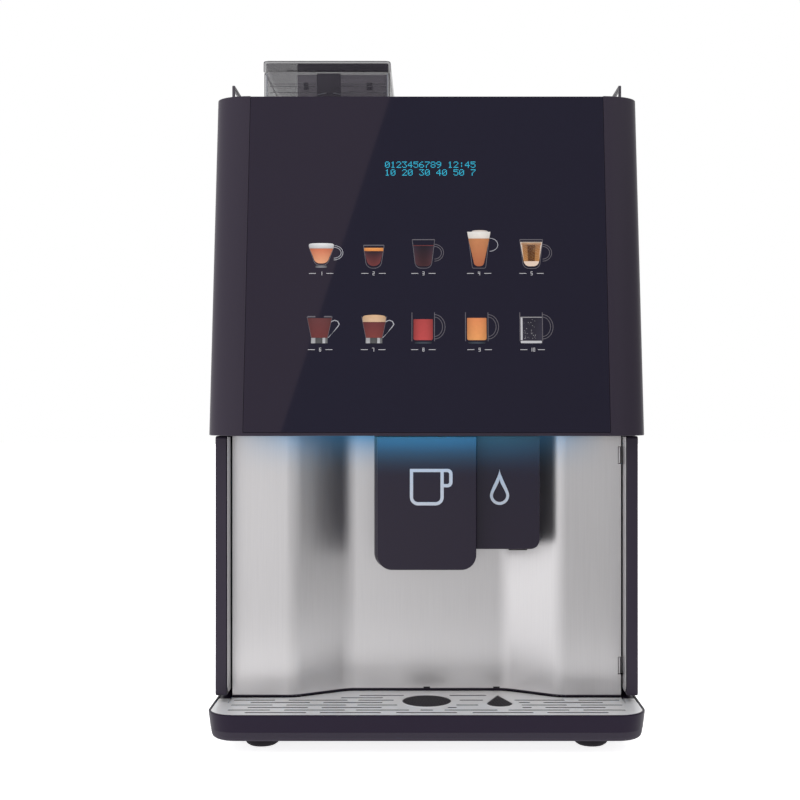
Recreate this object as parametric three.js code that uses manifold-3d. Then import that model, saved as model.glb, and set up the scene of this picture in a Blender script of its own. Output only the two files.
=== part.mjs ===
// A table-top hot drinks vending machine: a cabinet with a raked glass door above, a hinged steel cup station below,
// a pull-out drip tray, a bean hopper on top and the drink-making units inside.
// Millimetres. X to the user's right, Y to the back, Z up. The origin is on the floor, under the middle of the machine.

import * as THREE from "three";
import { mergeVertices } from "three/addons/utils/BufferGeometryUtils.js";
import Module from "manifold-3d";

// ---------------------------------------------------------------- driving dimensions

const WIDTH = 450; // over the door and the drip tray
const DEPTH = 550;
const FRONT = -DEPTH / 2;
const REAR = DEPTH / 2;
const GAP = 0.4; // between neighbouring pieces

const FOOT_HEIGHT = 14;
const SHELF_TOP = 23.6; // the ledge of the chassis that carries the drip tray
const RIM_TOP = 41.8;
const CABINET_HALF = 223;
const SHEET = 2.5; // side, rear and top sheets
const CABINET_FRONT = -171;
const CABINET_REAR = 273;
const CABINET_TOP = 679;
const CABINET_BOTTOM = 16;

const DOOR_BOTTOM = 323.6;
const DOOR_TOP = 682.5;
const DOOR_FACE = -267; // the front of the door at its bottom edge
const DOOR_RAKE = 0.1544; // how far the face leans back, per unit of height
const DOOR_BACK = -175;
const DOOR_WALL = 4;
const GLASS_HALF = 187;
const GLASS_THICK = 4;
const TRIM_ROUND = 26; // how far the side trims curve back
const DOOR_AXIS = { x: 219, y: -179 };

const CHEEK_INNER = 211;
const CHEEK_FRONT = -218;
const CHEEK_BOTTOM = 48;
const CHEEK_TOP = 322;

const STATION = { wing: -194.5, middle: -163, inner: 86, outer: 142, half: 208.6, bend: 18 };
const STATION_BOTTOM = 43.6;
const STATION_TOP = 321.6;
const STATION_SHEET = 1.5;
const LINER = 5;
const STRIP_BOTTOM = 42.3;
const STATION_AXIS = { x: 207.2, y: -191.9 };
const BARREL = 1.7; // radius of the knuckles
const PIN = 0.8;
const KNUCKLES = [75, 301]; // heights of the middles of the two hinge knuckles
const KNUCKLE_LENGTH = 18;

const COFFEE_COVER = { front: -238, bottom: 183.4, half: 51.5, flare: 55, rear: 56.4, corner: 15.6 };
const WATER_COVER = { front: -222, bottom: 203.3, left: 57, right: 118.9, corner: 10 };
const COVER_WALL = 3;
const COVER_TOP = 322;
const COVER_OPENING = { x0: -46, x1: 110, z0: 218, z1: 315 }; // in the steel panel, behind the covers
const CUP = { x: 0, y: -211, r: 27 }; // the round mark that a cup stands on
const DROP = { x: 76.6, y: -223, r: 14.5, tip: -184 };

const GRID_TOP = 41;
const GRID_THICK = 1.2;
const MARK_DEPTH = 0.6;
const SLOT_WIDTH = 2.4;
const SLOT_PITCH = 10.5;
const SLOT_ROWS = 8;
const SLOT_FIRST_ROW = -259.5;

const HOPPER = { x: -109.7, y: -64, half: 69.3, depth: 198, floor: 679.4, top: 721, wall: 2.5, throat: 18, neck: 626 };
const GATE = { z: 637, thick: 2, travel: 37, sleeve: 30 };
const LID_TOP = 733.4;

const RAIL = { outer: 221, front: -118, rear: 200, top: 717.8, bar: 8, thick: 3 };
const HATCH = { x0: -12, x1: 214, y0: -90, y1: 150 }; // opening in the top over the canisters
const SHELF = { z: 330, thick: 3, front: -150, rear: 262 };

const CANISTER = { half: 33, front: -70, rear: 110, bottom: 470, top: 652, wall: 2.5, spout: 12, spoutY: -50 };
const CANISTER_XS = [25, 100, 175];
const CANISTER_NAMES = ["milk", "chocolate", "tea"];
const AUGER = { r: 26, shaft: 5, pitch: 24, blades: 6, slant: 0.3 };
const BREWER = { x: -109.7, y: -84 };
const WHIP = { x: 36, z: 366, r: 22 };

// ---------------------------------------------------------------- solid modelling helpers

const wasm = await Module();
wasm.setup();

function solid(geometry) {
  const bare = geometry.clone();
  bare.deleteAttribute("normal");
  bare.deleteAttribute("uv");
  const merged = mergeVertices(bare, 1e-4);
  return new wasm.Manifold(
    new wasm.Mesh({
      numProp: 3,
      vertProperties: merged.attributes.position.array,
      triVerts: new Uint32Array(merged.index.array),
    }),
  );
}

function geometryOf(made) {
  const mesh = made.getMesh();
  return new THREE.BufferGeometry()
    .setAttribute("position", new THREE.BufferAttribute(mesh.vertProperties, 3))
    .setIndex(new THREE.BufferAttribute(mesh.triVerts, 1));
}

const cut = (body, ...tools) => geometryOf(tools.reduce((a, b) => a.subtract(solid(b)), solid(body)));
const join = (body, ...more) => geometryOf(more.reduce((a, b) => a.add(solid(b)), solid(body)));
const common = (body, other) => geometryOf(solid(body).intersect(solid(other)));

// A box from its lowest to its highest corner.
function block([x0, y0, z0], [x1, y1, z1]) {
  return new THREE.BoxGeometry(x1 - x0, y1 - y0, z1 - z0).translate((x0 + x1) / 2, (y0 + y1) / 2, (z0 + z1) / 2);
}

// An outline in plan, from z0 up to z1.
function prismZ(shape, z0, z1, curveSegments = 6) {
  const settings = { depth: z1 - z0, bevelEnabled: false, curveSegments };
  return new THREE.ExtrudeGeometry(shape, settings).translate(0, 0, z0);
}

// An outline in the X-Z plane, from y0 back to y1.
function prismY(shape, y0, y1, curveSegments = 6) {
  const settings = { depth: y1 - y0, bevelEnabled: false, curveSegments };
  return new THREE.ExtrudeGeometry(shape, settings).rotateX(Math.PI / 2).translate(0, y1, 0);
}

// An outline whose first axis is Y and whose second is Z, from x0 to x1.
function prismX(shape, x0, x1, curveSegments = 6) {
  const settings = { depth: x1 - x0, bevelEnabled: false, curveSegments };
  return new THREE.ExtrudeGeometry(shape, settings).rotateX(Math.PI / 2).rotateZ(Math.PI / 2).translate(x0, 0, 0);
}

function rodZ(x, y, z0, z1, r, sides = 24) {
  const rod = new THREE.CylinderGeometry(r, r, z1 - z0, sides).rotateX(Math.PI / 2);
  return rod.translate(x, y, (z0 + z1) / 2);
}

function rodX(x0, x1, y, z, r, sides = 24) {
  const rod = new THREE.CylinderGeometry(r, r, x1 - x0, sides).rotateZ(Math.PI / 2);
  return rod.translate((x0 + x1) / 2, y, z);
}

function rodY(x, y0, y1, z, r, sides = 24) {
  return new THREE.CylinderGeometry(r, r, y1 - y0, sides).translate(x, (y0 + y1) / 2, z);
}

// A body turned about the vertical through x, y. The profile is a list of [radius, height].
function turned(x, y, profile, sides = 24) {
  const points = profile.map(([r, z]) => new THREE.Vector2(r, z));
  return new THREE.LatheGeometry(points, sides).rotateX(Math.PI / 2).translate(x, y, 0);
}

function rounded(x0, y0, x1, y1, r) {
  const s = new THREE.Shape();
  s.moveTo(x0 + r, y0);
  s.lineTo(x1 - r, y0);
  s.absarc(x1 - r, y0 + r, r, -Math.PI / 2, 0);
  s.lineTo(x1, y1 - r);
  s.absarc(x1 - r, y1 - r, r, 0, Math.PI / 2);
  s.lineTo(x0 + r, y1);
  s.absarc(x0 + r, y1 - r, r, Math.PI / 2, Math.PI);
  s.lineTo(x0, y0 + r);
  s.absarc(x0 + r, y0 + r, r, Math.PI, 1.5 * Math.PI);
  return s;
}

const polygon = (points) => new THREE.Shape(points.map(([x, y]) => new THREE.Vector2(x, y)));

// Moves every vertex by a rule that takes and gives [x, y, z].
function bent(geometry, rule) {
  const p = geometry.attributes.position;
  for (let i = 0; i < p.count; i++) p.setXYZ(i, ...rule(p.getX(i), p.getY(i), p.getZ(i)));
  return geometry;
}

// A four-sided funnel between two level rectangles, each given by its middle and its half sides.
function frustum([x0, y0, z0, halfX0, halfY0], [x1, y1, z1, halfX1, halfY1]) {
  return bent(block([-1, -1, 0], [1, 1, 1]), (u, v, w) =>
    w ? [x1 + u * halfX1, y1 + v * halfY1, z1] : [x0 + u * halfX0, y0 + v * halfY0, z0],
  );
}

// ---------------------------------------------------------------- materials

const paint = (color, roughness, metalness = 0) => new THREE.MeshStandardMaterial({ color, roughness, metalness });
const MATERIALS = {
  blackPlastic: paint(0x2e2933, 0.5),
  trimPlastic: paint(0x3b3541, 0.42),
  coverPlastic: paint(0x27242c, 0.4),
  glass: paint(0x17161c, 0.08),
  steel: paint(0xb9b6b6, 0.35, 1),
  paintedSheet: paint(0x2c2831, 0.55, 0.3),
  zinc: paint(0xa8aab0, 0.45, 0.9),
  smoked: new THREE.MeshStandardMaterial({ color: 0x6d6a72, roughness: 0.12, transparent: true, opacity: 0.5 }),
  clearCanister: new THREE.MeshStandardMaterial({ color: 0xd9dcdf, roughness: 0.2, transparent: true, opacity: 0.6 }),
  rubber: paint(0x1b1a1d, 0.85),
  greyPlastic: paint(0x8d9096, 0.5),
  silicone: paint(0xd8d4cc, 0.6),
  motor: paint(0x3a3c40, 0.5, 0.6),
  light: new THREE.MeshStandardMaterial({ color: 0x6fd0ff, emissive: 0x2aa4ff, roughness: 0.3 }),
};

const machine = new THREE.Group();

function add(name, geometry, material, place = [0, 0, 0]) {
  const mesh = new THREE.Mesh(geometry, MATERIALS[material]);
  mesh.name = name;
  mesh.position.set(...place);
  machine.add(mesh);
  return mesh;
}

// The same piece on the right, and mirrored on the left.
function addPair(name, geometry, material) {
  add(name + "_right", geometry, material);
  add(name + "_left", geometry, material).scale.x = -1;
}

// ---------------------------------------------------------------- base, feet and drip tray

function taperedSlab(half, front, rear, corner, z0, z1, draft) {
  const s = new THREE.Shape();
  s.moveTo(-half, rear);
  s.lineTo(-half, front + corner);
  s.absarc(-half + corner, front + corner, corner, Math.PI, 1.5 * Math.PI);
  s.lineTo(half - corner, front);
  s.absarc(half - corner, front + corner, corner, -Math.PI / 2, 0);
  s.lineTo(half, rear);
  return bent(prismZ(s, z0, z1, 8), (x, y, z) => {
    const share = (draft * (z1 - z)) / (z1 - z0);
    return [x * (1 - share / half), y < rear - 1 ? y + share : y, z];
  });
}

const PAN_FRONT = -157;
const PAN_TOP = 41.6;
const PAN_FLOOR = FOOT_HEIGHT + 3;

function baseChassis() {
  const wall = 3;
  const half = CABINET_HALF - SHEET - GAP;
  const pan = block([-half, PAN_FRONT, FOOT_HEIGHT], [half, CABINET_REAR - SHEET - GAP, PAN_TOP]);
  const hollow = block([-half + wall, PAN_FRONT + wall, PAN_FLOOR], [half - wall, CABINET_REAR - 6, PAN_TOP + 5]);
  const ledge = taperedSlab(222, FRONT + 2.5, -150, 28, FOOT_HEIGHT, SHELF_TOP, 5);
  const behind = block([-240, CABINET_FRONT - GAP, 0], [240, -100, 60]);
  const link = block([-200, CABINET_FRONT - 2, FOOT_HEIGHT], [200, PAN_FRONT + 2, SHELF_TOP]);
  return join(cut(pan, hollow), cut(ledge, behind), link);
}

function foot() {
  return turned(0, 0, [[0, 0], [13, 0], [17.5, 3], [19, 8], [19, 11], [9, 11], [9, 13.7], [0, 13.7]], 20);
}

const TRAY_REAR = -160.5;

function dripTray() {
  const outer = taperedSlab(WIDTH / 2, FRONT, TRAY_REAR, 30, SHELF_TOP + GAP, RIM_TOP, 2.2);
  const well = taperedSlab(WIDTH / 2 - 6, FRONT + 6, TRAY_REAR - 14, 24, SHELF_TOP + 3, RIM_TOP + 1, 1);
  const seat = taperedSlab(WIDTH / 2 - 2.2, FRONT + 2.2, TRAY_REAR - 2, 27.8, GRID_TOP - GRID_THICK - GAP, RIM_TOP + 1, 0);
  const corners = [-1, 1].map((s) => block([s * 230 - 10.5, CABINET_FRONT - 0.6, 0], [s * 230 + 10.5, -150, 60]));
  return cut(outer, well, seat, ...corners);
}

// The outline of the cup station's steel panel in plan, from left to right, with each bend rounded.
function stationOutline(shift = 0, half = STATION.half) {
  const corners = [
    [-half, STATION.wing],
    [-STATION.outer, STATION.wing],
    [-STATION.inner, STATION.middle],
    [STATION.inner, STATION.middle],
    [STATION.outer, STATION.wing],
    [half, STATION.wing],
  ].map(([x, y]) => new THREE.Vector2(x, y + shift));
  const path = new THREE.Path();
  path.moveTo(corners[0].x, corners[0].y);
  for (let i = 1; i < corners.length - 1; i++) {
    const before = corners[i].clone().sub(corners[i - 1]).setLength(STATION.bend / 2);
    const after = corners[i + 1].clone().sub(corners[i]).setLength(STATION.bend / 2);
    const start = corners[i].clone().sub(before);
    const end = corners[i].clone().add(after);
    path.lineTo(start.x, start.y);
    path.quadraticCurveTo(corners[i].x, corners[i].y, end.x, end.y);
  }
  path.lineTo(corners.at(-1).x, corners.at(-1).y);
  return path.getPoints(4).map((p) => [p.x, p.y]);
}

// Everything behind the panel's outline moved by shift, as far as Y = back.
function behindStation(shift, back, z0, z1, half = STATION.half) {
  return prismZ(polygon([...stationOutline(shift, half), [half, back], [-half, back]]), z0, z1);
}

function dropShape(grow = 0) {
  const s = new THREE.Shape();
  const r = DROP.r + grow;
  const tip = DROP.tip + grow * 1.6;
  const tangent = Math.asin(r / (tip - DROP.y));
  s.moveTo(DROP.x, tip);
  s.absarc(DROP.x, DROP.y, r, Math.PI - tangent, 2 * Math.PI + tangent);
  s.closePath();
  return s;
}

// Staggered rows of slots, which stop short of the two marks and of the panel.
function slotIntervals(row) {
  const half = row % 2 ? [[18, 73], [84, 147], [161, 205]] : [[46.6, 109.2], [123, 186]];
  const middle = row % 2 ? [-6.7, 6.7] : [-31.3, 31.3];
  return [middle, ...half, ...half.map(([a, b]) => [-b, -a])];
}

function clipped([a, b], centre, half) {
  if (half <= 0 || b < centre - half || a > centre + half) return [[a, b]];
  return [[a, centre - half], [centre + half, b]];
}

function slotHoles() {
  const holes = [];
  for (let row = 0; row < SLOT_ROWS; row++) {
    const y = SLOT_FIRST_ROW + row * SLOT_PITCH;
    const cupHalf = Math.sqrt(Math.max(0, (CUP.r + 8) ** 2 - (y - CUP.y) ** 2));
    const beside = y > DROP.y ? Math.max(4, DROP.r * (1 - (y - DROP.y) / (DROP.tip - DROP.y))) + 8 : DROP.r + 7;
    const dropHalf = y > DROP.y - DROP.r - 6 && y < DROP.tip + 8 ? beside : 0;
    const reach = y > STATION.wing - 12 ? STATION.outer - 34 - (y - STATION.wing + 12) * 1.6 : 205;
    slotIntervals(row)
      .flatMap((part) => clipped(part, CUP.x, cupHalf))
      .flatMap((part) => clipped(part, DROP.x, dropHalf))
      .map(([a, b]) => [Math.max(a, -reach), Math.min(b, reach)])
      .filter(([a, b]) => b - a > 8)
      .forEach(([a, b]) => holes.push([a, b, y]));
  }
  return holes;
}

// A slotted sheet with two shallow marks: a round one for a cup and a drop-shaped one under the hot water outlet.
function dripGrid() {
  const inset = 2.6;
  const plate = taperedSlab(WIDTH / 2 - inset, FRONT + inset, TRAY_REAR - 3, 27.4, GRID_TOP - GRID_THICK, GRID_TOP, 0);
  const round = new THREE.Shape().absarc(CUP.x, CUP.y, CUP.r, 0, 2 * Math.PI);
  const z0 = GRID_TOP - 5;
  const z1 = GRID_TOP + 5;
  const underCheeks = [-1, 1].map((s) => block([s * 225 - 15.8, CHEEK_FRONT - 1.5, z0], [s * 225 + 15.8, -150, z1]));
  const tools = [
    prismZ(round, GRID_TOP - MARK_DEPTH, z1, 16),
    prismZ(dropShape(), GRID_TOP - MARK_DEPTH, z1, 8),
    behindStation(-1.5, 0, z0, z1, 215),
    ...slotHoles().map(([a, b, y]) => block([a, y - SLOT_WIDTH / 2, z0], [b, y + SLOT_WIDTH / 2, z1])),
    ...underCheeks,
  ];
  return cut(plate, ...tools);
}

add("base_chassis", baseChassis(), "blackPlastic");
for (const [side, x] of [["left", -172], ["right", 172]])
  for (const [end, y] of [["front", -225], ["rear", 225]]) add(`foot_${end}_${side}`, foot(), "rubber", [x, y, 0]);
add("drip_tray", dripTray(), "blackPlastic");
add("drip_grid", dripGrid(), "steel");

// ---------------------------------------------------------------- cabinet

const INNER_HALF = CABINET_HALF - SHEET;

function sidePanel() {
  return block([INNER_HALF, CABINET_FRONT, CABINET_BOTTOM], [CABINET_HALF, CABINET_REAR, CABINET_TOP - SHEET - GAP]);
}

function cheek() {
  const outline = rounded(CHEEK_FRONT, CHEEK_BOTTOM, CABINET_FRONT - GAP, CHEEK_TOP, 3);
  return prismX(outline, CHEEK_INNER, CABINET_HALF, 4);
}

function cheekTrim() {
  const s = new THREE.Shape();
  const [front, rear, low, high, r] = [CHEEK_FRONT + 1.5, CHEEK_FRONT + 22, CHEEK_BOTTOM + 3, CHEEK_TOP - 1, 7];
  s.moveTo(rear, low);
  s.lineTo(rear, high);
  s.lineTo(front, high);
  s.lineTo(front, low + r);
  s.absarc(front + r, low + r, r, Math.PI, 1.5 * Math.PI);
  return prismX(s, CHEEK_INNER - 1.1, CHEEK_INNER - GAP, 6);
}

function ventSlots(z0, count) {
  const y = CABINET_REAR - SHEET / 2;
  return Array.from({ length: count }, (_, i) => block([40, y - 5, z0 + i * 14], [190, y + 5, z0 + 6 + i * 14]));
}

const INLET = { x: -150, z: 78, halfX: 15, halfZ: 24 };
const WATER_IN = { x: -60, z: 80, r: 13 };

function rearPanel() {
  const half = INNER_HALF - GAP;
  const sheet = block([-half, CABINET_REAR - SHEET, CABINET_BOTTOM], [half, CABINET_REAR, CABINET_TOP - SHEET - GAP]);
  const y0 = CABINET_REAR - 8;
  const inlet = block(
    [INLET.x - INLET.halfX, y0, INLET.z - INLET.halfZ],
    [INLET.x + INLET.halfX, y0 + 20, INLET.z + INLET.halfZ],
  );
  const water = rodY(WATER_IN.x, y0, y0 + 20, WATER_IN.z, WATER_IN.r + 0.5);
  return cut(sheet, inlet, water, ...ventSlots(240, 5), ...ventSlots(520, 6));
}

function topCover() {
  const outline = rounded(-CABINET_HALF, CABINET_FRONT, CABINET_HALF, CABINET_REAR, 2);
  const z = CABINET_TOP;
  const sheet = prismZ(outline, z - SHEET, z, 2);
  const hatch = block([HATCH.x0, HATCH.y0, z - 9], [HATCH.x1, HATCH.y1, z + 9]);
  const throat = block([HOPPER.x - 52, HOPPER.y - 82, z - 9], [HOPPER.x + 52, HOPPER.y + 70, z + 9]);
  return cut(sheet, hatch, throat);
}

// Shelf between the two compartments, with a stiffening lip in front and holes for the coffee chute and the drinks hose.
function midShelf() {
  const half = INNER_HALF - GAP;
  const { z, thick, front, rear } = SHELF;
  const plate = block([-half, front, z], [half, rear, z + thick]);
  const lip = block([-half, front, z - 10], [half, front + 3, z + 16]);
  const corners = [-1, 1].map((s) => block([s * half - 12, front - 1, z - 12], [s * half + 12, front + 18, z + 18]));
  const chute = block([BREWER.x - 16, -120, z - 5], [BREWER.x + 16, -98, z + 8]);
  const passage = block([WHIP.x - 12, -129, z - 5], [WHIP.x + 12, -103, z + 8]);
  return cut(join(plate, lip), chute, passage, ...corners);
}

function galleryRail() {
  const { outer, front, rear, top, bar, thick } = RAIL;
  const low = CABINET_TOP + GAP;
  const side = polygon([[front, low], [rear, low], [rear, top - 6], [rear - 6, top], [front, top]]);
  const windows = [
    [front + 6, 36],
    [46, rear - 10],
  ].map(([a, b]) => block([outer - 10, a, low + 5], [outer + 10, b, top - bar]));
  return cut(prismX(side, outer - thick, outer), ...windows);
}

addPair("side_panel", sidePanel(), "paintedSheet");
addPair("cheek", cheek(), "trimPlastic");
addPair("cheek_trim", cheekTrim(), "steel");
addPair("gallery_rail", galleryRail(), "paintedSheet");
add("rear_panel", rearPanel(), "paintedSheet");
add("top_cover", topCover(), "paintedSheet");
add("mid_shelf", midShelf(), "zinc");

function serviceLid() {
  const z = CABINET_TOP + GAP;
  const [x0, x1, y0, y1] = [HATCH.x0 - 6, HATCH.x1 - 2, HATCH.y0 - 6, HATCH.y1 + 6];
  const skin = prismZ(rounded(x0, y0, x1, y1, 8), z, z + 6, 4);
  const underside = block([HATCH.x0 + 4, HATCH.y0 + 4, z - 1], [HATCH.x1 - 8, HATCH.y1 - 4, z + 3]);
  const grip = block([80, y0 - 5, z], [124, y0 + 2, z + 4]);
  return join(cut(skin, underside), grip);
}

add("service_lid", serviceLid(), "blackPlastic");

// ---------------------------------------------------------------- upper door

const faceAt = (z) => DOOR_FACE + DOOR_RAKE * (z - DOOR_BOTTOM);

// Leans what lies in front of the line Y = hinge back by the door's rake.
const raked = (geometry, hinge = 0) => bent(geometry, (x, y, z) => [x, y < hinge ? y + faceAt(z) - DOOR_FACE : y, z]);

// The door's outline in plan, or that of its hollow, which lies wall within the sides and front within the face.
function doorPlan(wall = 0, front = 0, back = DOOR_BACK) {
  const s = new THREE.Shape();
  const half = WIDTH / 2 - wall;
  const bend = DOOR_FACE + TRIM_ROUND;
  s.moveTo(-half, back);
  s.lineTo(-half, bend);
  s.absellipse(-GLASS_HALF, bend, half - GLASS_HALF, TRIM_ROUND - front, Math.PI, 1.5 * Math.PI);
  s.lineTo(GLASS_HALF, DOOR_FACE + front);
  s.absellipse(GLASS_HALF, bend, half - GLASS_HALF, TRIM_ROUND - front, -Math.PI / 2, 0);
  s.lineTo(half, back);
  return s;
}

const LOCK = { y: -188, z: 470, r: 9 };
const DISPLAY = { x: 4, z: 602.6, halfX: 56, halfZ: 16 };
const CHIN_LIGHT = { half: 160, y0: -258, y1: -246 };

function doorShell() {
  const outer = raked(prismZ(doorPlan(), DOOR_BOTTOM, DOOR_TOP, 10), DOOR_BACK - 1);
  const front = DOOR_FACE + GLASS_THICK + GAP;
  const recess = raked(block([-GLASS_HALF, DOOR_FACE - 9, DOOR_BOTTOM + 3], [GLASS_HALF, front, DOOR_TOP + 5]));
  const room = doorPlan(DOOR_WALL, GLASS_THICK + GAP + 3, DOOR_BACK + 5);
  const cavity = raked(prismZ(room, DOOR_BOTTOM + DOOR_WALL, DOOR_TOP - DOOR_WALL, 8), DOOR_BACK - 1);
  const { x, z, halfX, halfZ } = DISPLAY;
  const window = block([x - halfX, -250, z - halfZ], [x + halfX, -200, z + halfZ]);
  const light = block(
    [-CHIN_LIGHT.half - GAP, CHIN_LIGHT.y0 - GAP, DOOR_BOTTOM - 3],
    [CHIN_LIGHT.half + GAP, CHIN_LIGHT.y1 + GAP, DOOR_BOTTOM + 9],
  );
  const notches = [
    [DOOR_BOTTOM + DOOR_WALL, 342],
    [665, DOOR_TOP - DOOR_WALL],
  ].map(([z0, z1]) => block([210, -188, z0 - 0.2], [230, DOOR_BACK + 5, z1 + 0.2]));
  const bore = rodZ(DOOR_AXIS.x, DOOR_AXIS.y, DOOR_BOTTOM - 5, DOOR_TOP + 5, 2.6, 16);
  const lockHole = rodX(-WIDTH / 2 - 5, -WIDTH / 2 + 9, LOCK.y, LOCK.z, LOCK.r + 0.3);
  return cut(outer, recess, cavity, window, light, ...notches, bore, lockHole);
}

function glassFascia() {
  const half = GLASS_HALF - GAP;
  return raked(block([-half, DOOR_FACE, DOOR_BOTTOM + 3 + GAP], [half, DOOR_FACE + GLASS_THICK, DOOR_TOP - 0.6]));
}

function displayModule() {
  const { x, z, halfX, halfZ } = DISPLAY;
  const front = DOOR_FACE + GLASS_THICK + GAP;
  const screen = [[x - halfX + 1, front, z - halfZ + 1], [x + halfX - 1, front + 12, z + halfZ - 1]];
  const board = [[x - 68, front + 7.5, z - 30], [x + 68, front + 11, z + 30]];
  return raked(join(block(...screen), block(...board)));
}

function doorLiner() {
  const half = WIDTH / 2 - DOOR_WALL - GAP;
  const skin = block([-half, DOOR_BACK - 4, DOOR_BOTTOM + 20], [half, DOOR_BACK - 1, DOOR_TOP - 20]);
  const lockSpace = block([-230, DOOR_BACK - 9, LOCK.z - 20], [-198, DOOR_BACK + 5, LOCK.z + 40]);
  const rib = (z) => block([-180, DOOR_BACK - 9, z], [180, DOOR_BACK - 3, z + 3]);
  const box = block([-120, DOOR_BACK - 2, 400], [120, DOOR_BACK + 3, 520]);
  return join(cut(skin, lockSpace), rib(380), rib(560), rib(640), box);
}

function doorLock() {
  const barrel = rodX(-WIDTH / 2, -200, LOCK.y, LOCK.z, LOCK.r);
  const cam = block([-207, LOCK.y - 3, LOCK.z - 5], [-203, LOCK.y + 26, LOCK.z + 5]);
  const keyway = block([-WIDTH / 2 - 2, LOCK.y - 1, LOCK.z - 4], [-WIDTH / 2 + 5, LOCK.y + 1, LOCK.z + 4]);
  return cut(join(barrel, cam), keyway);
}

function doorHinge(z0, z1, pinEnd) {
  const { x, y } = DOOR_AXIS;
  const arm = block([x - 9, y, z0], [INNER_HALF - GAP, -140, z1]);
  const flange = block([INNER_HALF - 3, -165, z0 - 8], [INNER_HALF - GAP, -140, z1 + 4]);
  const pin = rodZ(x, y, Math.min(z0 + 1, pinEnd), Math.max(z1 - 1, pinEnd), 2.4, 16);
  return join(arm, rodZ(x, y, z0, z1, 4), flange, pin);
}

function doorStrike() {
  const tongue = block([-218.5, -206, LOCK.z + 11], [-215.5, -130, LOCK.z + 30]);
  const flange = block([-INNER_HALF + GAP, -160, LOCK.z + 11], [-216, -130, LOCK.z + 30]);
  const pin = rodX(-216, -200.5, LOCK.y - 14, LOCK.z + 19, 3, 16);
  return join(tongue, flange, pin);
}

add("door_shell", doorShell(), "trimPlastic");
add("glass_fascia", glassFascia(), "glass");
add("display_module", displayModule(), "motor");
add("door_liner", doorLiner(), "greyPlastic");
add("door_lock", doorLock(), "zinc");
add("door_strike", doorStrike(), "zinc");
add("door_hinge_top", doorHinge(667, 672, DOOR_TOP - 1), "zinc");
add("door_hinge_bottom", doorHinge(333, 338, DOOR_BOTTOM + 1), "zinc");
add(
  "door_light_strip",
  block([-CHIN_LIGHT.half, CHIN_LIGHT.y0, DOOR_BOTTOM + 0.3], [CHIN_LIGHT.half, CHIN_LIGHT.y1, DOOR_BOTTOM + 8]),
  "light",
);

// ---------------------------------------------------------------- cup station door

function stationPanel() {
  const front = stationOutline();
  const back = stationOutline(STATION_SHEET).reverse();
  const sheet = prismZ(polygon([...front, ...back]), STATION_BOTTOM, STATION_TOP);
  const { x0, x1, z0, z1 } = COVER_OPENING;
  const clearances = KNUCKLES.map((z) =>
    block([STATION_AXIS.x - 2.2, -230, z - KNUCKLE_LENGTH / 2 - 0.5], [230, -150, z + KNUCKLE_LENGTH / 2 + 0.5]),
  );
  return cut(sheet, block([x0, -230, z0], [x1, -100, z1]), ...clearances);
}

// A bent liner behind the sheet, with a dark strip under its bottom edge and the two hinge pins at its right.
function stationBacking() {
  const half = STATION.half - 0.6;
  const front = stationOutline(STATION_SHEET + GAP, half);
  const back = stationOutline(STATION_SHEET + GAP + LINER, half).reverse();
  const liner = prismZ(polygon([...front, ...back]), STATION_BOTTOM - GAP, STATION_TOP - 2);
  const strip = polygon([...stationOutline(-0.4, half), ...back]);
  const { x0, x1, z0, z1 } = COVER_OPENING;
  const passage = block([x0, -230, z0], [x1, -100, z1]);
  const knuckleSpace = KNUCKLES.map((z) =>
    block([STATION_AXIS.x - 6, -200, z - KNUCKLE_LENGTH / 2 - 0.5], [230, -150, z + KNUCKLE_LENGTH / 2 + 0.5]),
  );
  const pins = KNUCKLES.map((z) => rodZ(STATION_AXIS.x, STATION_AXIS.y, z - 14, z + 14, PIN, 12));
  const body = join(liner, prismZ(strip, STRIP_BOTTOM, STATION_BOTTOM - GAP));
  return join(cut(body, passage, ...knuckleSpace), ...pins);
}

// The barrel of a hinge and the leaf that holds it to the right-hand cheek.
function stationHinge(z) {
  const [z0, z1] = [z - KNUCKLE_LENGTH / 2, z + KNUCKLE_LENGTH / 2];
  const { x, y } = STATION_AXIS;
  const barrel = rodZ(x, y, z0, z1, BARREL, 16);
  const edge = CHEEK_INNER - GAP;
  const leaf = join(block([x + 1.3, y, z0], [edge, y + 1.2, z1]), block([209.2, y, z0], [edge, y + 14, z1]));
  return cut(join(barrel, leaf), rodZ(x, y, z0 - 1, z1 + 1, PIN + 0.2, 12));
}

function roundedBottom(x0, x1, z0, z1, rLeft, rRight) {
  const s = new THREE.Shape();
  s.moveTo(x0, z1);
  s.lineTo(x0, z0 + rLeft);
  if (rLeft) s.absarc(x0 + rLeft, z0 + rLeft, rLeft, Math.PI, 1.5 * Math.PI);
  s.lineTo(x1 - rRight, z0);
  s.absarc(x1 - rRight, z0 + rRight, rRight, -Math.PI / 2, 0);
  s.lineTo(x1, z1);
  return s;
}

// Widens what lies behind the front face: a short bevel first, and then a slight draft as far as the panel.
function flared(geometry, { front, half, flare, rear }) {
  return bent(geometry, (x, y, z) => {
    const depth = Math.max(0, y - front);
    const wide = depth < 15 ? half + ((flare - half) * depth) / 14 : flare + ((rear - flare) * (depth - 14)) / 57;
    return [(x * wide) / half, y, z];
  });
}

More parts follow.
